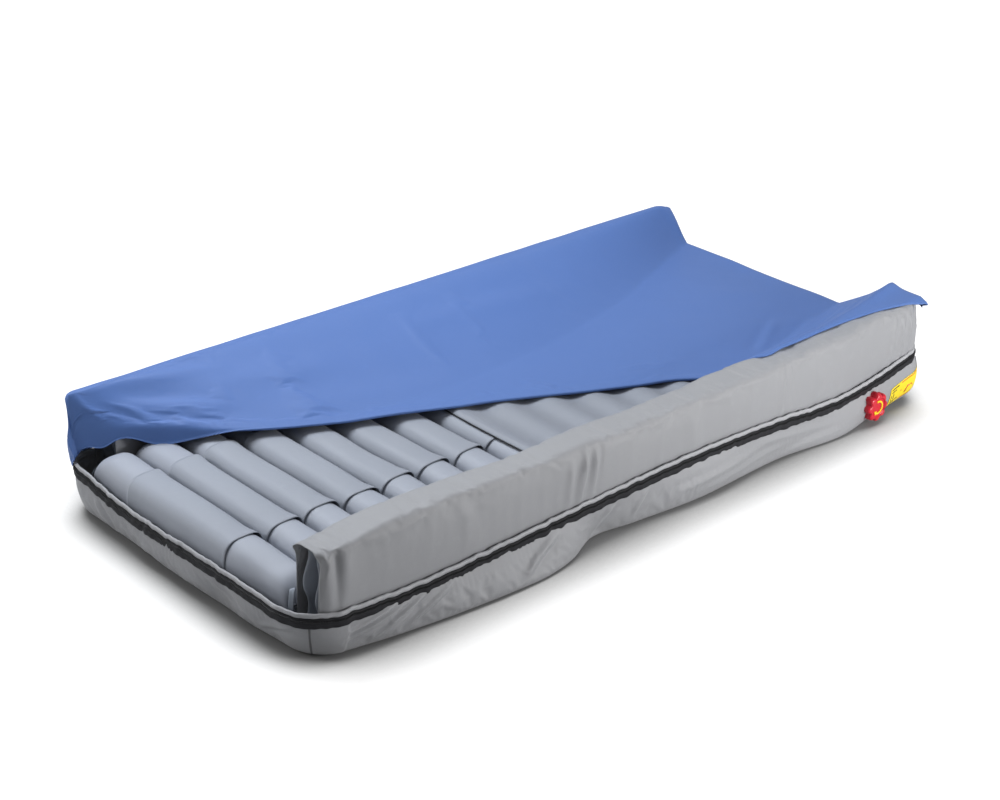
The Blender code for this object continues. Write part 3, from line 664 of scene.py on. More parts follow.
def band(offsets):
    """A band that follows the zip: rows of (height above its middle, inset)."""
    steady = 1 - slider_run(ring_s)
    lines = []
    for up, inset in offsets:
        lift = (0.0007 * jitter(ring_s, 0.0) + 0.004 * kink(ring_s) * (up > 0.0)) * steady
        push = (0.0006 * jitter(ring_s, up * 9 + 1.0) + 0.0012 * kink(ring_s + 0.006)) * steady
        lines.append(ring_row(ring_s, inset - push, zip_height(ring_s) + up + lift))
    return np.concatenate(lines, 1)


tape = lay("zip_band", band([(-0.0115, -0.0006), (-0.0108, -0.0024), (-0.004, -0.0028), (0.001, -0.0026),
                             (0.006, -0.0020), (0.0115, 0.0002)]), ring=True)
thicken(tape, 0.0011)
piece(tape, "mattress", tape_cloth, ["zip_tape"])

# one block for each turn of the coil: half its length, height and depth in metres, its lean and its taper
TEETH_PITCH = 0.0031
TOOTH = (0.00095, 0.0026, 0.0009)
TOOTH_LEAN = 0.0004
TAPER = (0.6, 0.8)
count = int(ROUND / TEETH_PITCH)
middle = band([(0.0050, -0.0036), (0.0054, -0.0036)])
tooth_s = (np.arange(count) + 0.5) * ROUND / count
spot = np.stack([np.interp(tooth_s, ring_s, middle[:, 0, k], period=ROUND) for k in range(3)], 1)
out = np.concatenate([outward(tooth_s), np.zeros((count, 1))], 1)
along = np.cross(UP, out)
corners = []
for depth, (wide, tall) in ((-1, (1, 1)), (1, TAPER)):
    for a, b in ((-wide, -tall), (wide, -tall), (wide, tall), (-wide, tall)):
        corners.append(spot + along * (a * TOOTH[0] + b * TOOTH_LEAN) + UP * (b * TOOTH[1])
                       + out * (depth * TOOTH[2]))
verts = np.stack(corners, 1).reshape(-1, 3)
quads = np.array([(0, 3, 2, 1), (4, 5, 6, 7), (0, 1, 5, 4), (1, 2, 6, 5), (2, 3, 7, 6), (3, 0, 4, 7)])
faces = (np.arange(count)[:, None, None] * 8 + quads[None]).reshape(-1, 4).tolist()
coil = build("zip_coil", verts, faces)
piece(coil, "mattress", coil_plastic)

hem = lay("tray_hem", band([(0.0110, 0.0010), (0.0135, -0.0004), (0.0170, -0.0010), (0.0202, -0.0004),
                            (0.0216, 0.0008), (0.0220, 0.0022), (0.0210, 0.0036), (0.0150, 0.0046),
                            (0.0050, 0.0048)]), ring=True)
thicken(hem, 0.0010)
piece(hem, "mattress", hem_cloth, ["rim_hem"])

# ---------------------------------------------------------------- air cells and their sleeves
CELLS, PITCH = 19, 0.104
CELL_Y = 0.354
CELL_Z = 0.110
CELL_HALF = (0.0494, 0.0622)
CELL_AROUND = 64
SQUARE_TUBE = 2.9
SQUARE_SLEEVE = 3.2
WELD_LENGTH, WELD_HALF = 0.055, 0.06
cell_turn = np.linspace(0, TAU, CELL_AROUND, endpoint=False)[None]


def signed_power(value, power):
    return np.sign(value) * np.abs(value) ** power


def cell_points(k, ys, grow=0.0, square=SQUARE_TUBE):
    """The tube of air cell k at the stations ys, grown by grow; its ends narrow to a welded edge.
    A higher square gives a boxier section. The first cell's near end sinks towards the head."""
    rng = np.random.default_rng(100 + k)
    x0 = (k - (CELLS - 1) / 2) * PITCH
    tone = swell(200 + k, 0.12, 0.5, 10)
    y = ys[:, None]
    end = np.clip((CELL_Y - np.abs(y)) / WELD_LENGTH, 0, 1)
    full = np.sqrt(1 - (1 - end) ** 2.4) * (1 - WELD_HALF) + WELD_HALF
    a = (CELL_HALF[0] + grow) * (0.80 + 0.20 * full)
    b = (CELL_HALF[1] + grow) * full
    px = signed_power(np.cos(cell_turn), 2 / square) * a
    pz = signed_power(np.sin(cell_turn), 2 / square) * b
    sag = 0.0012 * tone(y, cell_turn * 0.05)
    sway = 0.0005 * np.sin(y * 7 + rng.uniform(0, TAU))
    x = x0 + px * (1 + 2.4 * sag) + sway
    z = CELL_Z + pz + sag
    if k == 0:
        sunk = smooth((-0.17 - y) / 0.16)
        z = z - 0.012 * sunk
        x = x + 0.010 * sunk
    return np.stack([x + 0 * z, y + 0 * x, z + 0 * x], 2)


# stations along a cell, closer together where its ends round off
ROUND_END = 0.06
rounding = ROUND_END * (1 - np.cos(np.linspace(0, math.pi / 2, 16)))
straight_end = CELL_Y - ROUND_END - 0.01
cell_ys = np.concatenate([rounding - CELL_Y, np.linspace(-straight_end, straight_end, 60),
                          CELL_Y - rounding[::-1]])
for k in range(CELLS):
    tube = cell_points(k, cell_ys)
    cell = lay(f"cell_{k + 1:02d}", tube[:, ::-1], tube=True, ends=True)
    piece(cell, "mattress", cell_cloth, [f"air_cell_{k + 1:02d}"])

SLEEVED = 8
SLEEVE_ENDS = (-0.166, 0.206)
UNEVEN = 0.006
for k in range(SLEEVED):
    rng = np.random.default_rng(300 + k)
    y0 = SLEEVE_ENDS[0] + rng.uniform(-UNEVEN, UNEVEN)
    y1 = SLEEVE_ENDS[1] + rng.uniform(-UNEVEN, UNEVEN)
    ys = np.linspace(y0, y1, 60)
    tube = cell_points(k, ys, grow=0.0016, square=SQUARE_SLEEVE)
    # the mouths stand off the cell, most at the near end on the head side
    loose = smooth((y0 + 0.05 - ys) / 0.05)[:, None] + 0.6 * smooth((ys - y1 + 0.04) / 0.04)[:, None]
    flare = loose * (0.0060 * hill(cell_turn, 0.75, 0.55) + 0.0022 * hill(cell_turn, 2.4, 0.5))
    tube[..., 0] += flare * np.cos(cell_turn) * 0.6
    tube[..., 2] += flare * np.sin(cell_turn) * 0.9
    slant = 0.004 * np.sin(cell_turn + rng.uniform(0, TAU))
    tube[..., 1] += slant * smooth(np.abs(ys - (y0 + y1) / 2) / 0.18)[:, None]
    sleeve = thicken(lay(f"sleeve_{k + 1:02d}", tube[:, ::-1], tube=True), 0.0007, 1.0)
    piece(sleeve, "mattress", sleeve_cloth, [f"cell_sleeve_{k + 1:02d}"])

# ---------------------------------------------------------------- overlay
CLOTH = 0.0010
OVERLAY_X = (-0.225, 0.965)
OVERLAY_HALF = 0.345
OVERLAY_Z, OVERLAY_WAVE = 0.1762, 0.0048
OX, OY = np.meshgrid(np.linspace(*OVERLAY_X, 260), np.linspace(-OVERLAY_HALF, OVERLAY_HALF, 90),
                     indexing="ij")
drape = swell(17, 0.15, 0.6, 12, (0.0, 0.25))
OZ = OVERLAY_Z + OVERLAY_WAVE * np.cos(TAU * OX / PITCH) + 0.0006 * drape(OX, OY)
OZ = OZ - 0.004 * smooth((OVERLAY_X[0] + 0.012 - OX) / 0.012)
OZ = OZ - 0.012 * smooth((np.abs(OY) - OVERLAY_HALF + 0.02) / 0.02)
OX = OX + 0.004 * np.sin(OY * 9) * smooth((0.0 - OX) / 0.2)
overlay = thicken(lay("overlay", np.stack([OX, OY, OZ], 2)), CLOTH)
piece(overlay, "mattress", overlay_cloth, ["overlay_sheet"])
# a thin dark strip along the overlay's foot edge
turn = np.linspace(0, TAU, 8, endpoint=False)
edge = np.stack([OX[0], OY[0], OZ[0]], 1)
loop = edge[:, None] + np.stack([0.0022 * np.cos(turn), 0 * turn, 0.0012 * np.sin(turn)], 1)[None]
dark_edge = lay("overlay_dark_edge", loop, tube=True, ends=True)
piece(dark_edge, "mattress", tape_cloth)

# ---------------------------------------------------------------- the cover's shape over what lies below
# height of the near bolster, the cover's height over the cells, its outline in plan and its highest points
near_top = curve([(-0.96, 0.254), (-0.92, 0.259), (-0.2, 0.260), (0.3, 0.261), (0.5, 0.263), (0.7, 0.270),
                  (0.85, 0.280), (0.975, 0.287)])
LIE = 0.1900
COVER_FAR = 0.4630
COVER_HEAD = 0.9980
COVER_FOOT = -0.9860
RIDGE = 0.2895
TALLEST = 0.3035
# radius of the bend along the fold edge, of the rounding at the outer edges, and room for what lies beneath
BEND = 0.0032
DROOP = 0.012
UNDER_COVER = 2 * BEND + 0.0016
OVER_BOLSTER = 0.0062
# y of the fold edge at x, from the far foot corner to the near head corner
fold_y = curve([(-0.986, 0.402), (-0.966, 0.390), (-0.943, 0.373), (-0.906, 0.352), (-0.836, 0.298),
                (-0.761, 0.249), (-0.684, 0.202), (-0.560, 0.139), (-0.474, 0.101), (-0.340, 0.045),
                (-0.204, -0.012), (-0.110, -0.048), (0.027, -0.111), (0.213, -0.199), (0.330, -0.251),
                (0.372, -0.290), (0.400, -0.350), (0.430, -0.380), (0.510, -0.386), (0.590, -0.388),
                (0.660, -0.389), (0.730, -0.394), (0.790, -0.403), (0.856, -0.417), (0.915, -0.436),
                (0.979, -0.459), (0.998, -0.462)])
# where the cover leaves the far bolster's top and where it meets the cells, and the same by the near one
far_leave = curve([(-0.99, 0.430), (-0.88, 0.432), (0.80, 0.432), (0.93, 0.438), (1.0, 0.445)])
far_meet = curve([(-0.99, 0.385), (-0.93, 0.350), (-0.84, 0.275), (-0.60, 0.130), (-0.30, 0.080),
                  (0.20, 0.110), (0.55, 0.190), (0.80, 0.290), (0.93, 0.340), (1.0, 0.366)])
near_leave = curve([(0.30, -0.376), (0.75, -0.374), (0.90, -0.362), (1.0, -0.348)])
near_meet = curve([(0.30, -0.285), (0.55, -0.270), (0.80, -0.225), (1.0, -0.185)])
billow = swell(41, 0.25, 1.1, 12)
fine_billow = swell(43, 0.10, 0.4, 12)
# folds in the cover: start (x, y), end (x, y), width and depth
COVER_FOLDS = (
    ((-0.95, 0.41), (-0.62, 0.25), 0.020, 0.006), ((-0.94, 0.37), (-0.70, 0.235), 0.012, 0.004),
    ((-0.92, 0.43), (-0.55, 0.36), 0.020, 0.004), ((-0.78, 0.36), (-0.30, 0.26), 0.035, 0.004),
    ((-0.60, 0.20), (-0.05, 0.08), 0.040, 0.003), ((0.62, -0.30), (0.90, -0.20), 0.012, 0.003),
    ((0.70, -0.31), (0.96, -0.26), 0.010, 0.003), ((0.55, -0.28), (0.80, -0.14), 0.014, 0.003),
    ((0.80, -0.33), (0.97, -0.30), 0.008, 0.0025), ((-0.2, 0.31), (0.5, 0.27), 0.030, 0.003),
)


def roll_in(t, soft=0.12):
    """Runs from 0 to 1 with t, starting as a soft roll and not as a crease."""
    return np.clip((np.sqrt(np.maximum(t, 0) ** 2 + soft**2) - soft) / (math.sqrt(1 + soft**2) - soft), 0, 1)


def cover_z(x, y):
    """Height of the cover's top layer over the cells and bolsters."""
    # down from the far bolster to the cells
    t = np.clip((far_leave(x) - y) / (far_leave(x) - far_meet(x)), -0.1, 1)
    z = LIE + (RIDGE - LIE) * (1 - roll_in(t)) ** 1.25
    z = z - 0.006 * smooth((y - 0.435) / 0.028)
    # up on to the near bolster, and up again in a peak at its head
    t = np.clip((y - near_leave(x)) / (near_meet(x) - near_leave(x)), 0, 1)
    peak = 0.0085 * smooth((x - 0.80) / 0.18) * hill(y, near_leave(x), 0.024)
    top = near_top(x) + OVER_BOLSTER + peak
    top = top - 0.008 * smooth((-0.440 - y) / 0.022)
    steep = 1.35 - 0.33 * smooth((x - 0.75) / 0.2)
    z = np.where(y < 0, z + (top - LIE) * (1 - t) ** steep, z)
    # the far foot corner falls away as an apron, joined by a soft minimum
    apron = 0.150 + 2.4 * (x - COVER_FOOT) + 3.4 * (y - 0.398)
    soft = 0.007
    z = -soft * np.log(np.exp(-(z - LIE) / soft) + np.exp(-(apron - LIE) / soft)) + LIE
    z = z + 0.0020 * billow(x, y) * smooth((0.26 - np.abs(y)) / 0.2)
    z = z + 0.0005 * fine_billow(x, y)
    z = z - 0.010 * smooth((x - 0.945) / 0.05) * smooth((y - 0.40) / 0.05)
    for start, end, width, depth in COVER_FOLDS:
        z = z + crease(x, y, start, end, width, depth)
    d = np.minimum(np.minimum(COVER_FAR - y, COVER_HEAD - x), x - COVER_FOOT)
    d = np.clip(d, 0, DROOP)
    return np.minimum(z, TALLEST) - (DROOP - np.sqrt(DROOP**2 - (DROOP - d) ** 2))


# ---------------------------------------------------------------- bolsters
BOLSTER_INNER = 0.361
BOLSTER_INSET = 0.0092
BOLSTER_FOOT_Z = 0.0470
SQUARE_BOLSTER = 6.5
far_top = curve([(-0.96, 0.250), (-0.9, 0.259), (0.9, 0.262), (0.975, 0.262)])


def bolster_outer(x, side):
    """How far out a bolster reaches at x: it follows the tray's corners."""
    word = "near" if side < 0 else "far"
    radius = np.where(x > 0, RADII[word + "_head"], RADII[word + "_foot"])
    past = np.clip(np.abs(x) - (LENGTH / 2 - radius), 0, radius - BOLSTER_INSET - 1e-6)
    return WIDTH / 2 - radius + np.sqrt((radius - BOLSTER_INSET) ** 2 - past**2)


def bolster_tube(xs, top, side, around=88, shrink=0.0):
    """Points of a bolster's sleeve; side is -1 near and +1 far. Returned with their turn angle."""
    turn = np.linspace(0, TAU, around, endpoint=False)[None]
    x = xs[:, None]
    outer, inner = bolster_outer(x, side) - shrink, BOLSTER_INNER + shrink
    high, low = top(x) - shrink, BOLSTER_FOOT_Z + shrink
    y = (outer + inner) / 2 + signed_power(np.cos(turn), 2 / SQUARE_BOLSTER) * (outer - inner) / 2
    z = (high + low) / 2 + signed_power(np.sin(turn), 2 / SQUARE_BOLSTER) * (high - low) / 2
    return np.stack([x + 0 * y, side * y, z + 0 * y], 2), turn


# folds on the near bolster's outer face: start (x, z), end (x, z), width and depth
NEAR_FOLDS = (
    ((-0.22, 0.262), (-0.245, 0.125), 0.008, 0.0085),
    ((-0.19, 0.255), (-0.205, 0.135), 0.007, 0.0055),
    ((-0.265, 0.245), (-0.275, 0.135), 0.009, 0.0040),
    ((0.445, 0.262), (0.450, 0.120), 0.007, 0.0032),
    ((0.475, 0.255), (0.485, 0.130), 0.008, 0.0018),
    ((0.62, 0.125), (0.72, 0.210), 0.010, 0.0028),
    ((0.56, 0.120), (0.63, 0.190), 0.010, 0.0030),
    ((-0.60, 0.255), (-0.52, 0.130), 0.018, 0.0030),
    ((0.10, 0.255), (0.16, 0.130), 0.020, 0.0030),
    ((0.885, 0.268), (0.870, 0.140), 0.007, 0.0040),
    ((0.915, 0.270), (0.905, 0.140), 0.006, 0.0050),
    ((0.945, 0.275), (0.935, 0.140), 0.005, 0.0050),
)



def keep_under(points, gap=UNDER_COVER):
    """Holds points below the cover wherever it lies over them."""
    x, y, z = points[..., 0], points[..., 1], points[..., 2]
    over_x = np.clip(x, COVER_FOOT + DROOP, COVER_HEAD - DROOP)
    ceiling = cover_z(over_x, np.minimum(y, COVER_FAR - DROOP)) - gap
    over = smooth((y - fold_y(x) + DROOP) / DROOP)
    points[..., 2] = np.where(over > 0, np.minimum(z, z * (1 - over) + ceiling * over), z)
    return points


def soften_bolster(points, side, folds, seed):
    """Moves a bolster's points along their normals: slack, fine ridges, folds and a fuller outer face."""
    n = -facing(points, tube=True)
    x, y, z = points[..., 0], points[..., 1] * side, points[..., 2]
    if (n[..., 1] * side * (y - 0.4)).sum() < 0:
        n = -n
    outer = smooth((y - 0.395) / 0.035)
    high = smooth((z - 0.126) / 0.03)
    girth = np.where(outer > 0.5, z, z + 0.45 - y)
    push = 0.0007 * ridged(swell(seed, 0.06, 0.25, 18), 0.5)(x, girth) * high
    push = push + 0.0022 * swell(seed + 1, 0.18, 0.8, 10, (0.15, 0.3))(x, girth) * high
    lip = hill(z, np.max(z, axis=1, keepdims=True), 0.02)
    push = push + 0.0007 * ridged(swell(seed + 2, 0.015, 0.05, 18, (0.2, 0.5)), 0.6)(x, girth) * lip
    for start, end, width, depth in folds:
        push = push + crease(x, z, start, end, width, depth) * outer * high
    if side < 0:
        pinch = 0.006 * hill(x, -0.938, 0.010) - 0.012 * hill(x, -0.912, 0.011)
        push = push + pinch * outer * high * smooth((0.266 - z) / 0.03) * smooth((z - 0.12) / 0.08)
    fuller = 0.006 if side < 0 else 0.002
    push = push + fuller * outer * np.sin(math.pi * np.clip((z - 0.125) / 0.135, 0, 1))
    return points + n * push[..., None]


HEAD_END = 0.974
STRAIGHT_END = 0.86
FOAM_SHRINK = 0.0140
MOUTH = 0.035
for name, side, top, folds, seed, foot_end in (("near", -1, near_top, NEAR_FOLDS, 31, -0.950),
                                               ("far", 1, far_top, (), 37, -0.912)):
    bolster_xs = np.concatenate([np.linspace(foot_end, -STRAIGHT_END, 30)[:-1],
                                 np.linspace(-STRAIGHT_END, STRAIGHT_END, 300)[:-1],
                                 np.linspace(STRAIGHT_END, HEAD_END, 40)])
    tube, turn = bolster_tube(bolster_xs, top, side)
    tube = keep_under(soften_bolster(tube, side, folds, seed))
    if side < 0:
        mouth = smooth((foot_end + MOUTH - bolster_xs) / MOUTH)[:, None]
        tube[..., 0] += mouth * (0.006 * np.sin(turn * 2 + 0.6) + 0.003 * np.sin(turn * 5))
    sleeve = lay(f"bolster_sleeve_{name}_cloth", tube[:, ::side], tube=True)
    if side < 0:
        held = np.clip((0.150 - tube[:, ::side, 2]) / 0.025, 0, 1)
        held[[0, 1, -2, -1]] = 1
        relax(sleeve, held.ravel(), grow=0.012, pressure=1.0, bending=3.0, cap=0.0035)
        move_points(sleeve, keep_under(points_of(sleeve.data)))
    thicken(sleeve, CLOTH)
    piece(sleeve, "mattress", bolster_cloth, [f"bolster_sleeve_{name}"])
    core_xs = np.linspace(foot_end + 0.055, 0.922, 120)
    core, _ = bolster_tube(core_xs, top, side, around=48, shrink=FOAM_SHRINK)
    core = keep_under(core, UNDER_COVER + 0.010)
    body = lay(f"bolster_foam_{name}", core[:, ::side], tube=True, ends=True)
    piece(body, "mattress", foam_stuff, [f"bolster_core_{name}"])
    # the gathered cloth closing each end of the sleeve
    for which, x_end in (("foot", foot_end + 0.025), ("head", 0.950)):
        top_x = foot_end + 0.015 if which == "foot" else 0.960
        zs = np.linspace(0.050, float(top(np.array(top_x))) - 0.004, 40)
        outer = float(bolster_outer(np.array(top_x), side)) - 0.001
        ys = np.linspace(BOLSTER_INNER + 0.001, outer, 44)
        GY, GZ = np.meshgrid(ys, zs, indexing="ij")
        q = (GY - ys[0]) / (ys[-1] - ys[0])
        depth = 0.016 * np.cos(q * TAU * 2.0) * np.sin(math.pi * np.clip((GZ - 0.04) / 0.24, 0, 1))
        depth = depth + 0.005 * np.sin(GZ * 60 + q * 4)
        end = keep_under(np.stack([x_end + depth, side * GY, GZ], 2), UNDER_COVER + 0.002)
        cap = thicken(lay(f"bolster_gusset_{name}_{which}", end), 0.0009)
        piece(cap, "mattress", dark_inside)

# ---------------------------------------------------------------- the blue cover laid over them
def round_corner(x, y, radius=0.030):
    """Pulls the square far corners of the plan in to a round of this radius."""
    for cx, way in ((COVER_HEAD - radius, 1), (COVER_FOOT + radius, -1)):
        a, b = (x - cx) * way, y - (COVER_FAR - radius)
        on = (a > 0) & (b > 0)
        size = np.where(on, np.maximum(a, b) / np.maximum(np.hypot(a, b), 1e-9), 1.0)
        x = np.where(on, cx + way * a * size, x)
        y = np.where(on, COVER_FAR - radius + b * size, y)
    return x, y


COLS, ROWS = 280, 124
UNDER_ROWS, BEND_ROWS, SKIRT_ROWS = 22, 7, 24
cx = np.linspace(COVER_FOOT, COVER_HEAD, COLS)
ease = np.linspace(0, 1, ROWS)
ease = ease + 0.035 * np.sin(TAU * ease)
X0 = np.repeat(cx[:, None], ROWS, 1)
start_y = fold_y(cx)[:, None]
Y0 = start_y + (COVER_FAR - start_y) * ease[None]
X1, Y1 = round_corner(X0, Y0)
top_layer = np.stack([X1, Y1, cover_z(X0, Y0)], 2)

# the turned-under part: a tight bend at the fold and a layer laid back beneath
edge = np.stack([cx, fold_y(cx)], 1)
tangent = np.gradient(edge, axis=0)
tangent /= np.linalg.norm(tangent, axis=1, keepdims=True)
inward = np.stack([-tangent[:, 1], tangent[:, 0]], 1)
TURNED_TO_Y, LEAST_TURNED, MOST_TURNED = 0.30, 0.012, 0.36
room = np.clip((TURNED_TO_Y - edge[:, 1]) / np.maximum(inward[:, 1], 0.2), LEAST_TURNED, MOST_TURNED)
under_rows = []
h = 0.002
for f in np.linspace(1, 0, UNDER_ROWS):
    plan = edge + inward * (room * f)[:, None]
    plan[:, 0] = np.clip(plan[:, 0], COVER_FOOT + 0.004, COVER_HEAD - 0.006)
    x, y = plan.T
    gx = (cover_z(x + h, y) - cover_z(x - h, y)) / (2 * h)
    gy = (cover_z(x, y + h) - cover_z(x, y - h)) / (2 * h)
    n = np.stack([-gx, -gy, np.ones_like(gx)], 1)
    n /= np.linalg.norm(n, axis=1, keepdims=True)
    under_rows.append(np.stack([x, y, cover_z(x, y)], 1) - n * 2 * BEND)
middle = (top_layer[:, 0] + under_rows[-1]) / 2
up_n = (top_layer[:, 0] - under_rows[-1]) / (2 * BEND)
out_n = np.concatenate([-inward, np.zeros((COLS, 1))], 1)
bend_rows = [middle - up_n * BEND * math.cos(a) + out_n * BEND * 1.1 * math.sin(a)
             for a in np.linspace(0, math.pi, BEND_ROWS + 2)[1:-1]]
whole = np.concatenate([np.stack(under_rows + bend_rows, 1), top_layer], 1)

# the skirt: down from the head, far and foot edges to the zip
def round_bend(at, straight, end):
    """How far a point past the straight part of a side goes round half a corner, with the side's own sign."""
    past = np.clip((np.abs(at) - straight) / (end - straight), 0, 1)
    return np.sign(at) * past * ARC / 2


ABOVE_ZIP = 0.014
HEAD_LAP, FAR_LAP, FOOT_LAP = 0.262, 0.1145, 0.121
head_y = Y0[-1]
far_x = X0[-2::-1, -1]
foot_y = Y0[0, -2::-1]
head_s = head(np.clip(head_y, -STRAIGHT_Y, STRAIGHT_Y)) + round_bend(head_y, STRAIGHT_Y, COVER_FAR)
far_s = far(np.clip(far_x, -STRAIGHT_X, STRAIGHT_X)) - round_bend(far_x, STRAIGHT_X, COVER_HEAD)
foot_s = foot(STRAIGHT_Y) - round_bend(foot_y, STRAIGHT_Y, COVER_FAR)
zipped = zip_height(head_s) + ABOVE_ZIP
head_lap = zipped + (HEAD_LAP - zipped) * smooth((-0.22 - head_y) / 0.16)
far_lap = FAR_LAP + 0.006 * smooth((-0.85 - far_x) / 0.1)
foot_lap = FOOT_LAP + 0.045 * smooth((0.43 - foot_y) / 0.05)
target = np.concatenate([head_s, far_s, foot_s])
lap = np.concatenate([head_lap, far_lap, foot_lap])
start_pts = np.concatenate([top_layer[-1], top_layer[-2::-1, -1], top_layer[0, -2::-1]])
skirt = [start_pts]
run = np.concatenate([[0], np.cumsum(np.linalg.norm(np.diff(start_pts[:, :2], axis=0), axis=1))])
pleat = swell(51, 0.05, 0.22, 14, (0.0, 0.12))
gather = hill(target, FAR_FOOT, 0.10) + 0.5 * hill(target, FAR_HEAD, 0.08)
base_plan = rim(target, -0.0062)
out = outward(target)
for r in range(1, SKIRT_ROWS + 1):
    q = r / SKIRT_ROWS
    low = np.minimum(lap, start_pts[:, 2] - 0.006)
    z = start_pts[:, 2] + (low - start_pts[:, 2]) * q
    plan = start_pts[:, :2] + (base_plan - start_pts[:, :2]) * smooth(q * 2.3)
    wave = 0.0022 * pleat(run, q * 0.06) + 0.006 * gather * np.sin(run * 95 + q * 2.0)
    plan = plan + out * (wave * math.sin(math.pi * q) ** 0.7)[:, None]
    skirt.append(np.concatenate([plan, z[:, None]], 1))
skirt = np.stack(skirt, 1)


def weld(name, grids, distance=0.0003):
    """Several grids as one mesh, welded where their edges meet."""
    parts = [lay(f"{name}_{k}", g) for k, g in enumerate(grids)]
    bm = bmesh.new()
    for part in parts:
        bm.from_mesh(part.data)
    bmesh.ops.remove_doubles(bm, verts=bm.verts, dist=distance)
    bmesh.ops.recalc_face_normals(bm, faces=bm.faces)
    mesh = bpy.data.meshes.new(name)
    bm.to_mesh(mesh)
    bm.free()
    for part in parts:
        bpy.data.objects.remove(part)
    return link(name, mesh)


cover = weld("cover", [whole, skirt])
drafted = points_of(cover.data)
px, py, pz = drafted.T
top_here = cover_z(np.clip(px, COVER_FOOT + 0.002, COVER_HEAD - 0.002), np.minimum(py, COVER_FAR - 0.002))
inside = (py < COVER_FAR - DROOP) & (px < COVER_HEAD - DROOP) & (px > COVER_FOOT + DROOP)
beneath = (pz < top_here - 0.004) & inside
hem_low = np.clip((0.135 - pz) / 0.02, 0, 1)
near_fold = np.clip(1 - (py - fold_y(px)) / 0.03, 0, 1) * (py < 0.41)
on_bolster = 0.5 * smooth((-0.30 - py) / 0.04)
ridge = smooth((py - 0.425) / 0.02) * smooth((pz - 0.262) / 0.01)
held = np.maximum.reduce([beneath * 1.0, hem_low, near_fold, on_bolster, ridge])
relax(cover, held, grow=0.007, bending=2.0, cap=0.005, gravity=0.02)
settled = points_of(cover.data)
lowest = np.where(beneath, pz, pz - 0.0022)
settled[:, 2] = np.minimum(np.maximum(settled[:, 2], lowest), TALLEST)
move_points(cover, settled)
thicken(cover, CLOTH)
piece(cover, "top_cover", blue_cloth, ["top_cover"])

# ---------------------------------------------------------------- CPR knob, label and other fittings
LOBES = 8
# the knob from its seat to its dished face: y, radius at a lobe, and how far it falls between two lobes
KNOB_RINGS = (
    (-0.4662, 0.0380, 0.0075), (-0.4680, 0.0390, 0.0080), (-0.4800, 0.0392, 0.0082),
    (-0.4850, 0.0385, 0.0080), (-0.4882, 0.0365, 0.0072), (-0.4896, 0.0335, 0.0058),
    (-0.4900, 0.0290, 0.0025), (-0.4894, 0.0268, 0.0), (-0.4868, 0.0262, 0.0), (-0.4862, 0.0240, 0.0),
    (-0.4862, 0.0010, 0.0),
)


def on_knob(r, a, y):
    """A point on the knob at a radius, an angle from straight up and a depth y."""
    return KNOB_X + r * np.sin(a), y + 0 * a, KNOB_Z + r * np.cos(a)


turn = np.linspace(0, TAU, 160, endpoint=False)
hollow = (0.5 - 0.5 * np.cos(LOBES * turn)) ** 1.6
rings = np.stack([np.stack(on_knob(r - d * hollow, turn, y), 1) for y, r, d in KNOB_RINGS])
knob = lay("cpr_knob_grip", rings, tube=True, ends=True)
piece(knob, "cpr_knob", red_plastic, ["cpr_knob"])

# a curved arrow on its face: a strip with two sides and two depths, and a wedge at its end
ARROW_R, ARROW_HALF = 0.0165, 0.0022
ARROW_Y = (-0.4860, -0.4880)
ARROW_FROM, ARROW_TO, ARROW_STEPS = -0.3, 3.6, 40
TIP_HALF, TIP_TURN = 0.006, 0.55
arrow = [on_knob(r, a, y) for a in np.linspace(ARROW_FROM, ARROW_TO, ARROW_STEPS)
         for r in (ARROW_R - ARROW_HALF, ARROW_R + ARROW_HALF) for y in ARROW_Y]
faces = []
for a in range(0, 4 * (ARROW_STEPS - 1), 4):
    b = a + 4
    faces += [(a, b, b + 2, a + 2), (a + 1, a + 3, b + 3, b + 1), (a, a + 1, b + 1, b),
              (a + 2, b + 2, b + 3, a + 3)]
n0 = len(arrow)
faces += [(0, 2, 3, 1), (n0 - 4, n0 - 3, n0 - 1, n0 - 2)]
arrow += [on_knob(ARROW_R + dr, ARROW_TO + da, y)
          for dr, da in ((-TIP_HALF, 0.0), (TIP_HALF, 0.0), (0.0, TIP_TURN)) for y in ARROW_Y]
faces += [(n0, n0 + 2, n0 + 4), (n0 + 1, n0 + 5, n0 + 3), (n0, n0 + 1, n0 + 3, n0 + 2),
          (n0 + 2, n0 + 3, n0 + 5, n0 + 4), (n0 + 4, n0 + 5, n0 + 1, n0)]
piece(build("cpr_knob_arrow", arrow, faces), "cpr_knob", yellow_film)


LABEL_S, LABEL_Z = near(0.880), 0.010
LABEL_LENGTH, LABEL_HEIGHT = 0.102, 0.058
LABEL_SLOPE = 0.36
FILM, INK, SIGN = 0.0010, 0.0014, 0.0015


def on_label(name, along, up, lift):
    """A film on the tray wall from a grid of places along the label and up it, lifted off the wall."""
    points = wall(LABEL_S + along, LABEL_Z + up + LABEL_SLOPE * along)
    return lay(name, points + facing(points) * lift)


def label_patch(name, a, b, c, d, lift, n, m):
    return on_label(name, *np.meshgrid(np.linspace(a, b, n), np.linspace(c, d, m), indexing="ij"), lift)


label = thicken(label_patch("label_film", 0, LABEL_LENGTH, 0, LABEL_HEIGHT, FILM, 60, 12), 0.0004)
piece(label, "mattress", yellow_film, ["cpr_label"])
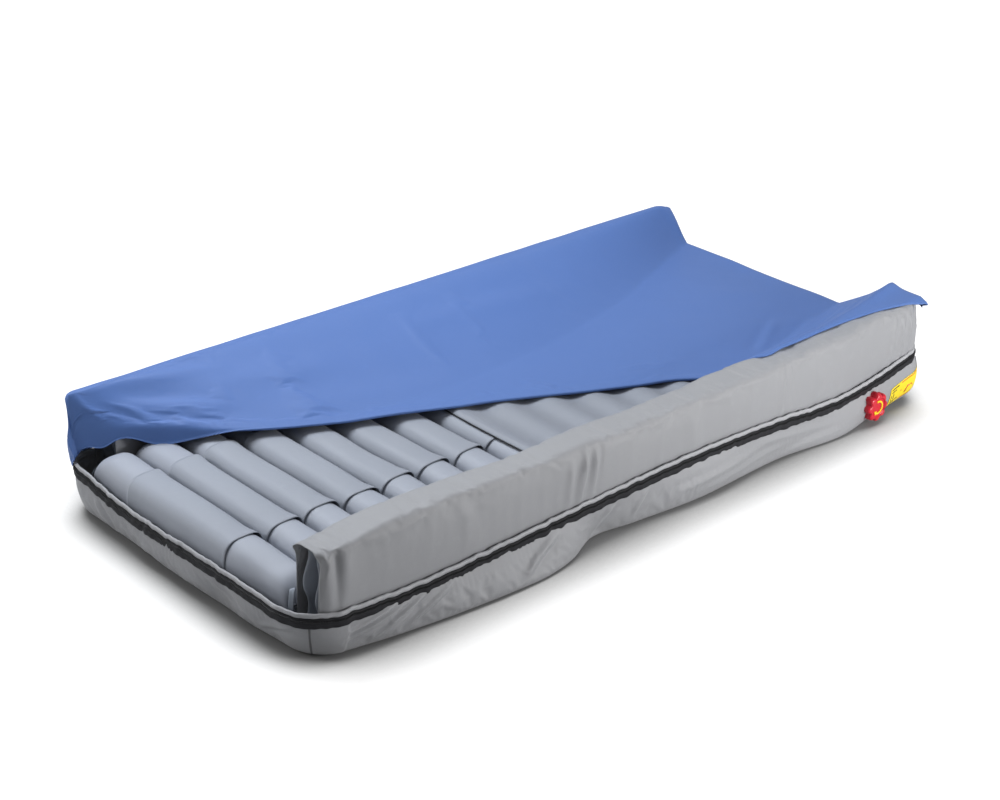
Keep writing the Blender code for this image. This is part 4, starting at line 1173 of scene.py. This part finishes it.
# bars and a frame in place of print: two ends along the label and two up it
BLACK_BARS = ((0.006, 0.030, 0.049, 0.0525), (0.006, 0.024, 0.041, 0.0440), (0.006, 0.030, 0.014, 0.0170),
              (0.006, 0.022, 0.007, 0.0100), (0.006, 0.0085, 0.020, 0.036), (0.014, 0.0165, 0.020, 0.036))
RED_BARS = ((0.038, 0.090, 0.0035, 0.0060), (0.038, 0.090, 0.0520, 0.0545), (0.038, 0.0405, 0.0035, 0.0545),
            (0.0875, 0.090, 0.0035, 0.0545))
for k, bar in enumerate(BLACK_BARS + RED_BARS):
    colour = ink if bar in BLACK_BARS else red_ink
    piece(label_patch(f"label_bar_{k + 1}", *bar, INK, 12, 3), "mattress", colour)
half = np.array([0.0, 0.007, 0.014])[:, None]
sign = on_label("label_sign", 0.064 + half * (-1, 1), 0.044 - 2 * half * (1, 1), SIGN)
piece(thicken(sign, 0.0003), "mattress", red_ink)


def ribbon(name, points, width, side, node):
    """A strip of webbing along points, its width along side, in place of a CAD node."""
    line = np.array(points, float)
    t = np.linspace(0, 1, 40)
    knots = np.linspace(0, 1, len(line))
    smooth_line = np.stack([curve(list(zip(knots, line[:, k])))(t) for k in range(3)], 1)
    side = np.array(side, float)
    side /= np.linalg.norm(side)
    twist = 0.5 * np.sin(t * 5)[:, None]
    across = side[None] * np.cos(twist) + np.cross(side, UP)[None] * np.sin(twist)
    f = np.linspace(-0.5, 0.5, 6)
    grid = smooth_line[:, None] + across[:, None] * (f * width)[None, :, None]
    obj = thicken(lay(name, grid), 0.0009)
    piece(obj, "mattress", tie_cloth, [node])


ribbon("tie_near", [(-0.955, -0.355, 0.062), (-0.968, -0.368, 0.100), (-0.962, -0.362, 0.128),
                    (-0.950, -0.350, 0.140), (-0.940, -0.340, 0.120)], 0.011, (1, -0.6, 0), "cell_tie_near")
ribbon("tie_far", [(-0.958, 0.360, 0.062), (-0.972, 0.362, 0.100), (-0.970, 0.352, 0.132),
                   (-0.956, 0.338, 0.148), (-0.944, 0.330, 0.130)], 0.014, (1, 0.6, 0), "cell_tie_far")


def dress(node, material, bevel=0.0):
    """A CAD piece that is kept as it is, with its material and its edges rounded by a bevel of that width."""
    obj = NODES[node]
    obj.data.materials.clear()
    obj.data.materials.append(material)
    if bevel:
        mod = obj.modifiers.new("edges", "BEVEL")
        mod.width = bevel
        mod.segments = 3
        mod.limit_method = "ANGLE"
        mod.angle_limit = math.radians(35)


dress("air_line_a", tube_plastic)
dress("air_line_b", tube_plastic)
dress("cpr_flange", dark_plastic, 0.0008)
dress("cpr_rotor", pale_plastic, 0.0004)
dress("cpr_valve_body", pale_plastic, 0.0008)
dress("hose_connector", dark_plastic, 0.0010)
dress("zip_slider", slider_metal, 0.0006)
dress("zip_pull", slider_metal, 0.0006)

# ---------------------------------------------------------------- room, light and camera
FLOOR_HALF = 30
floor = build("floor", [(x * FLOOR_HALF, y * FLOOR_HALF, 0) for x, y in ((-1, -1), (1, -1), (1, 1), (-1, 1))],
              [(0, 1, 2, 3)])
g = Graph("floor_paper")
seen = g.add("ShaderNodeLightPath").outputs["Is Camera Ray"]
paper = g.blend(g.noise(0.6, 2.0), (0.24, 0.24, 0.24, 1), (0.26, 0.26, 0.26, 1))
# pale paper that glows towards its edges, with a soft painted contact shadow round the mattress
away = g.add("ShaderNodeVectorMath", {"operation": "LENGTH"}, Vector=g.where.outputs["Object"])
glow = g.ramp(away.outputs["Value"], 1.3, 2.6, 0.0, 0.3)
# painted shadow: the glow the camera sees fades where ambient occlusion finds the mattress close by
painted_shadow_ao = g.add("ShaderNodeAmbientOcclusion", {"samples": 24}, Distance=0.27)
painted_shadow_glow = g.ramp(painted_shadow_ao.outputs["AO"], 0.40, 0.89, 0.0, 0.92)
bright = g.math("MULTIPLY", seen, g.math("ADD", painted_shadow_glow, glow))
g.surface(Base_Color=g.blend(seen, (0.52, 0.52, 0.52, 1), paper), Roughness=0.9, Specular_IOR_Level=0.0,
          Emission_Color=(1, 1, 1, 1), Emission_Strength=bright)
floor.data.materials.append(g.material)

# an even sky, brighter from above and from the far head side, and plain white to the camera
scene = bpy.context.scene
scene.view_settings.view_transform = "Standard"
world = bpy.data.worlds.new("studio")
scene.world = world
world.use_nodes = True
sky = world.node_tree
aim = sky.nodes.new("ShaderNodeTexCoord")
lean = sky.nodes.new("ShaderNodeVectorMath")
lean.operation = "DOT_PRODUCT"
lean.inputs[1].default_value = (0.30, 0.36, 0.88)
light_from = sky.nodes.new("ShaderNodeMapRange")
for socket, value in zip(light_from.inputs[1:5], (-0.5, 1.0, 0.02, 0.52)):
    socket.default_value = value
ray = sky.nodes.new("ShaderNodeLightPath")
either = sky.nodes.new("ShaderNodeMix")
either.inputs[3].default_value = 1.0
background = sky.nodes["Background"]
background.inputs["Color"].default_value = (1.0, 1.0, 1.0, 1.0)
sky.links.new(aim.outputs["Generated"], lean.inputs[0])
sky.links.new(lean.outputs["Value"], light_from.inputs[0])
sky.links.new(ray.outputs["Is Camera Ray"], either.inputs[0])
sky.links.new(light_from.outputs[0], either.inputs[2])
sky.links.new(either.outputs[0], background.inputs["Strength"])


def softbox(name, place, aim_at, size, power, colour=(1, 1, 1)):
    light = bpy.data.lights.new(name, "AREA")
    light.shape = "RECTANGLE"
    light.size, light.size_y = size
    light.energy = power
    light.color = colour
    obj = link(name, light)
    obj.location = place
    obj.rotation_euler = (Vector(aim_at) - Vector(place)).to_track_quat("-Z", "Y").to_euler()


softbox("key", (0.95, -2.3, 0.62), (0.35, -0.4, 0.12), (0.8, 0.7), 42)
softbox("rim", (-3.4, 2.4, 1.8), (-0.6, 0.2, 0.1), (1.2, 1.0), 40)
softbox("top", (-0.4, 1.2, 3.1), (-0.4, 0, 0.1), (2.2, 1.4), 104, (0.90, 0.945, 1.0))

LENS, SENSOR = 70.69, 36.0
CAMERA_AT = (-2.9741, -3.1003, 2.2382)
YAW, PITCH_DOWN, ROLL = math.radians(46.79), math.radians(26.09), math.radians(1.72)
forward = np.array([math.cos(PITCH_DOWN) * math.cos(YAW), math.cos(PITCH_DOWN) * math.sin(YAW),
                    -math.sin(PITCH_DOWN)])
right = np.cross(forward, UP)
right /= np.linalg.norm(right)
upward = np.cross(right, forward)
axes = np.eye(4)
axes[:3, 0] = math.cos(ROLL) * right + math.sin(ROLL) * upward
axes[:3, 1] = -math.sin(ROLL) * right + math.cos(ROLL) * upward
axes[:3, 2] = -forward
axes[:3, 3] = CAMERA_AT
camera = link("camera", bpy.data.cameras.new("camera"))
camera.data.sensor_width = SENSOR
camera.data.lens = LENS
camera.matrix_world = Matrix(axes.tolist())
scene.camera = camera
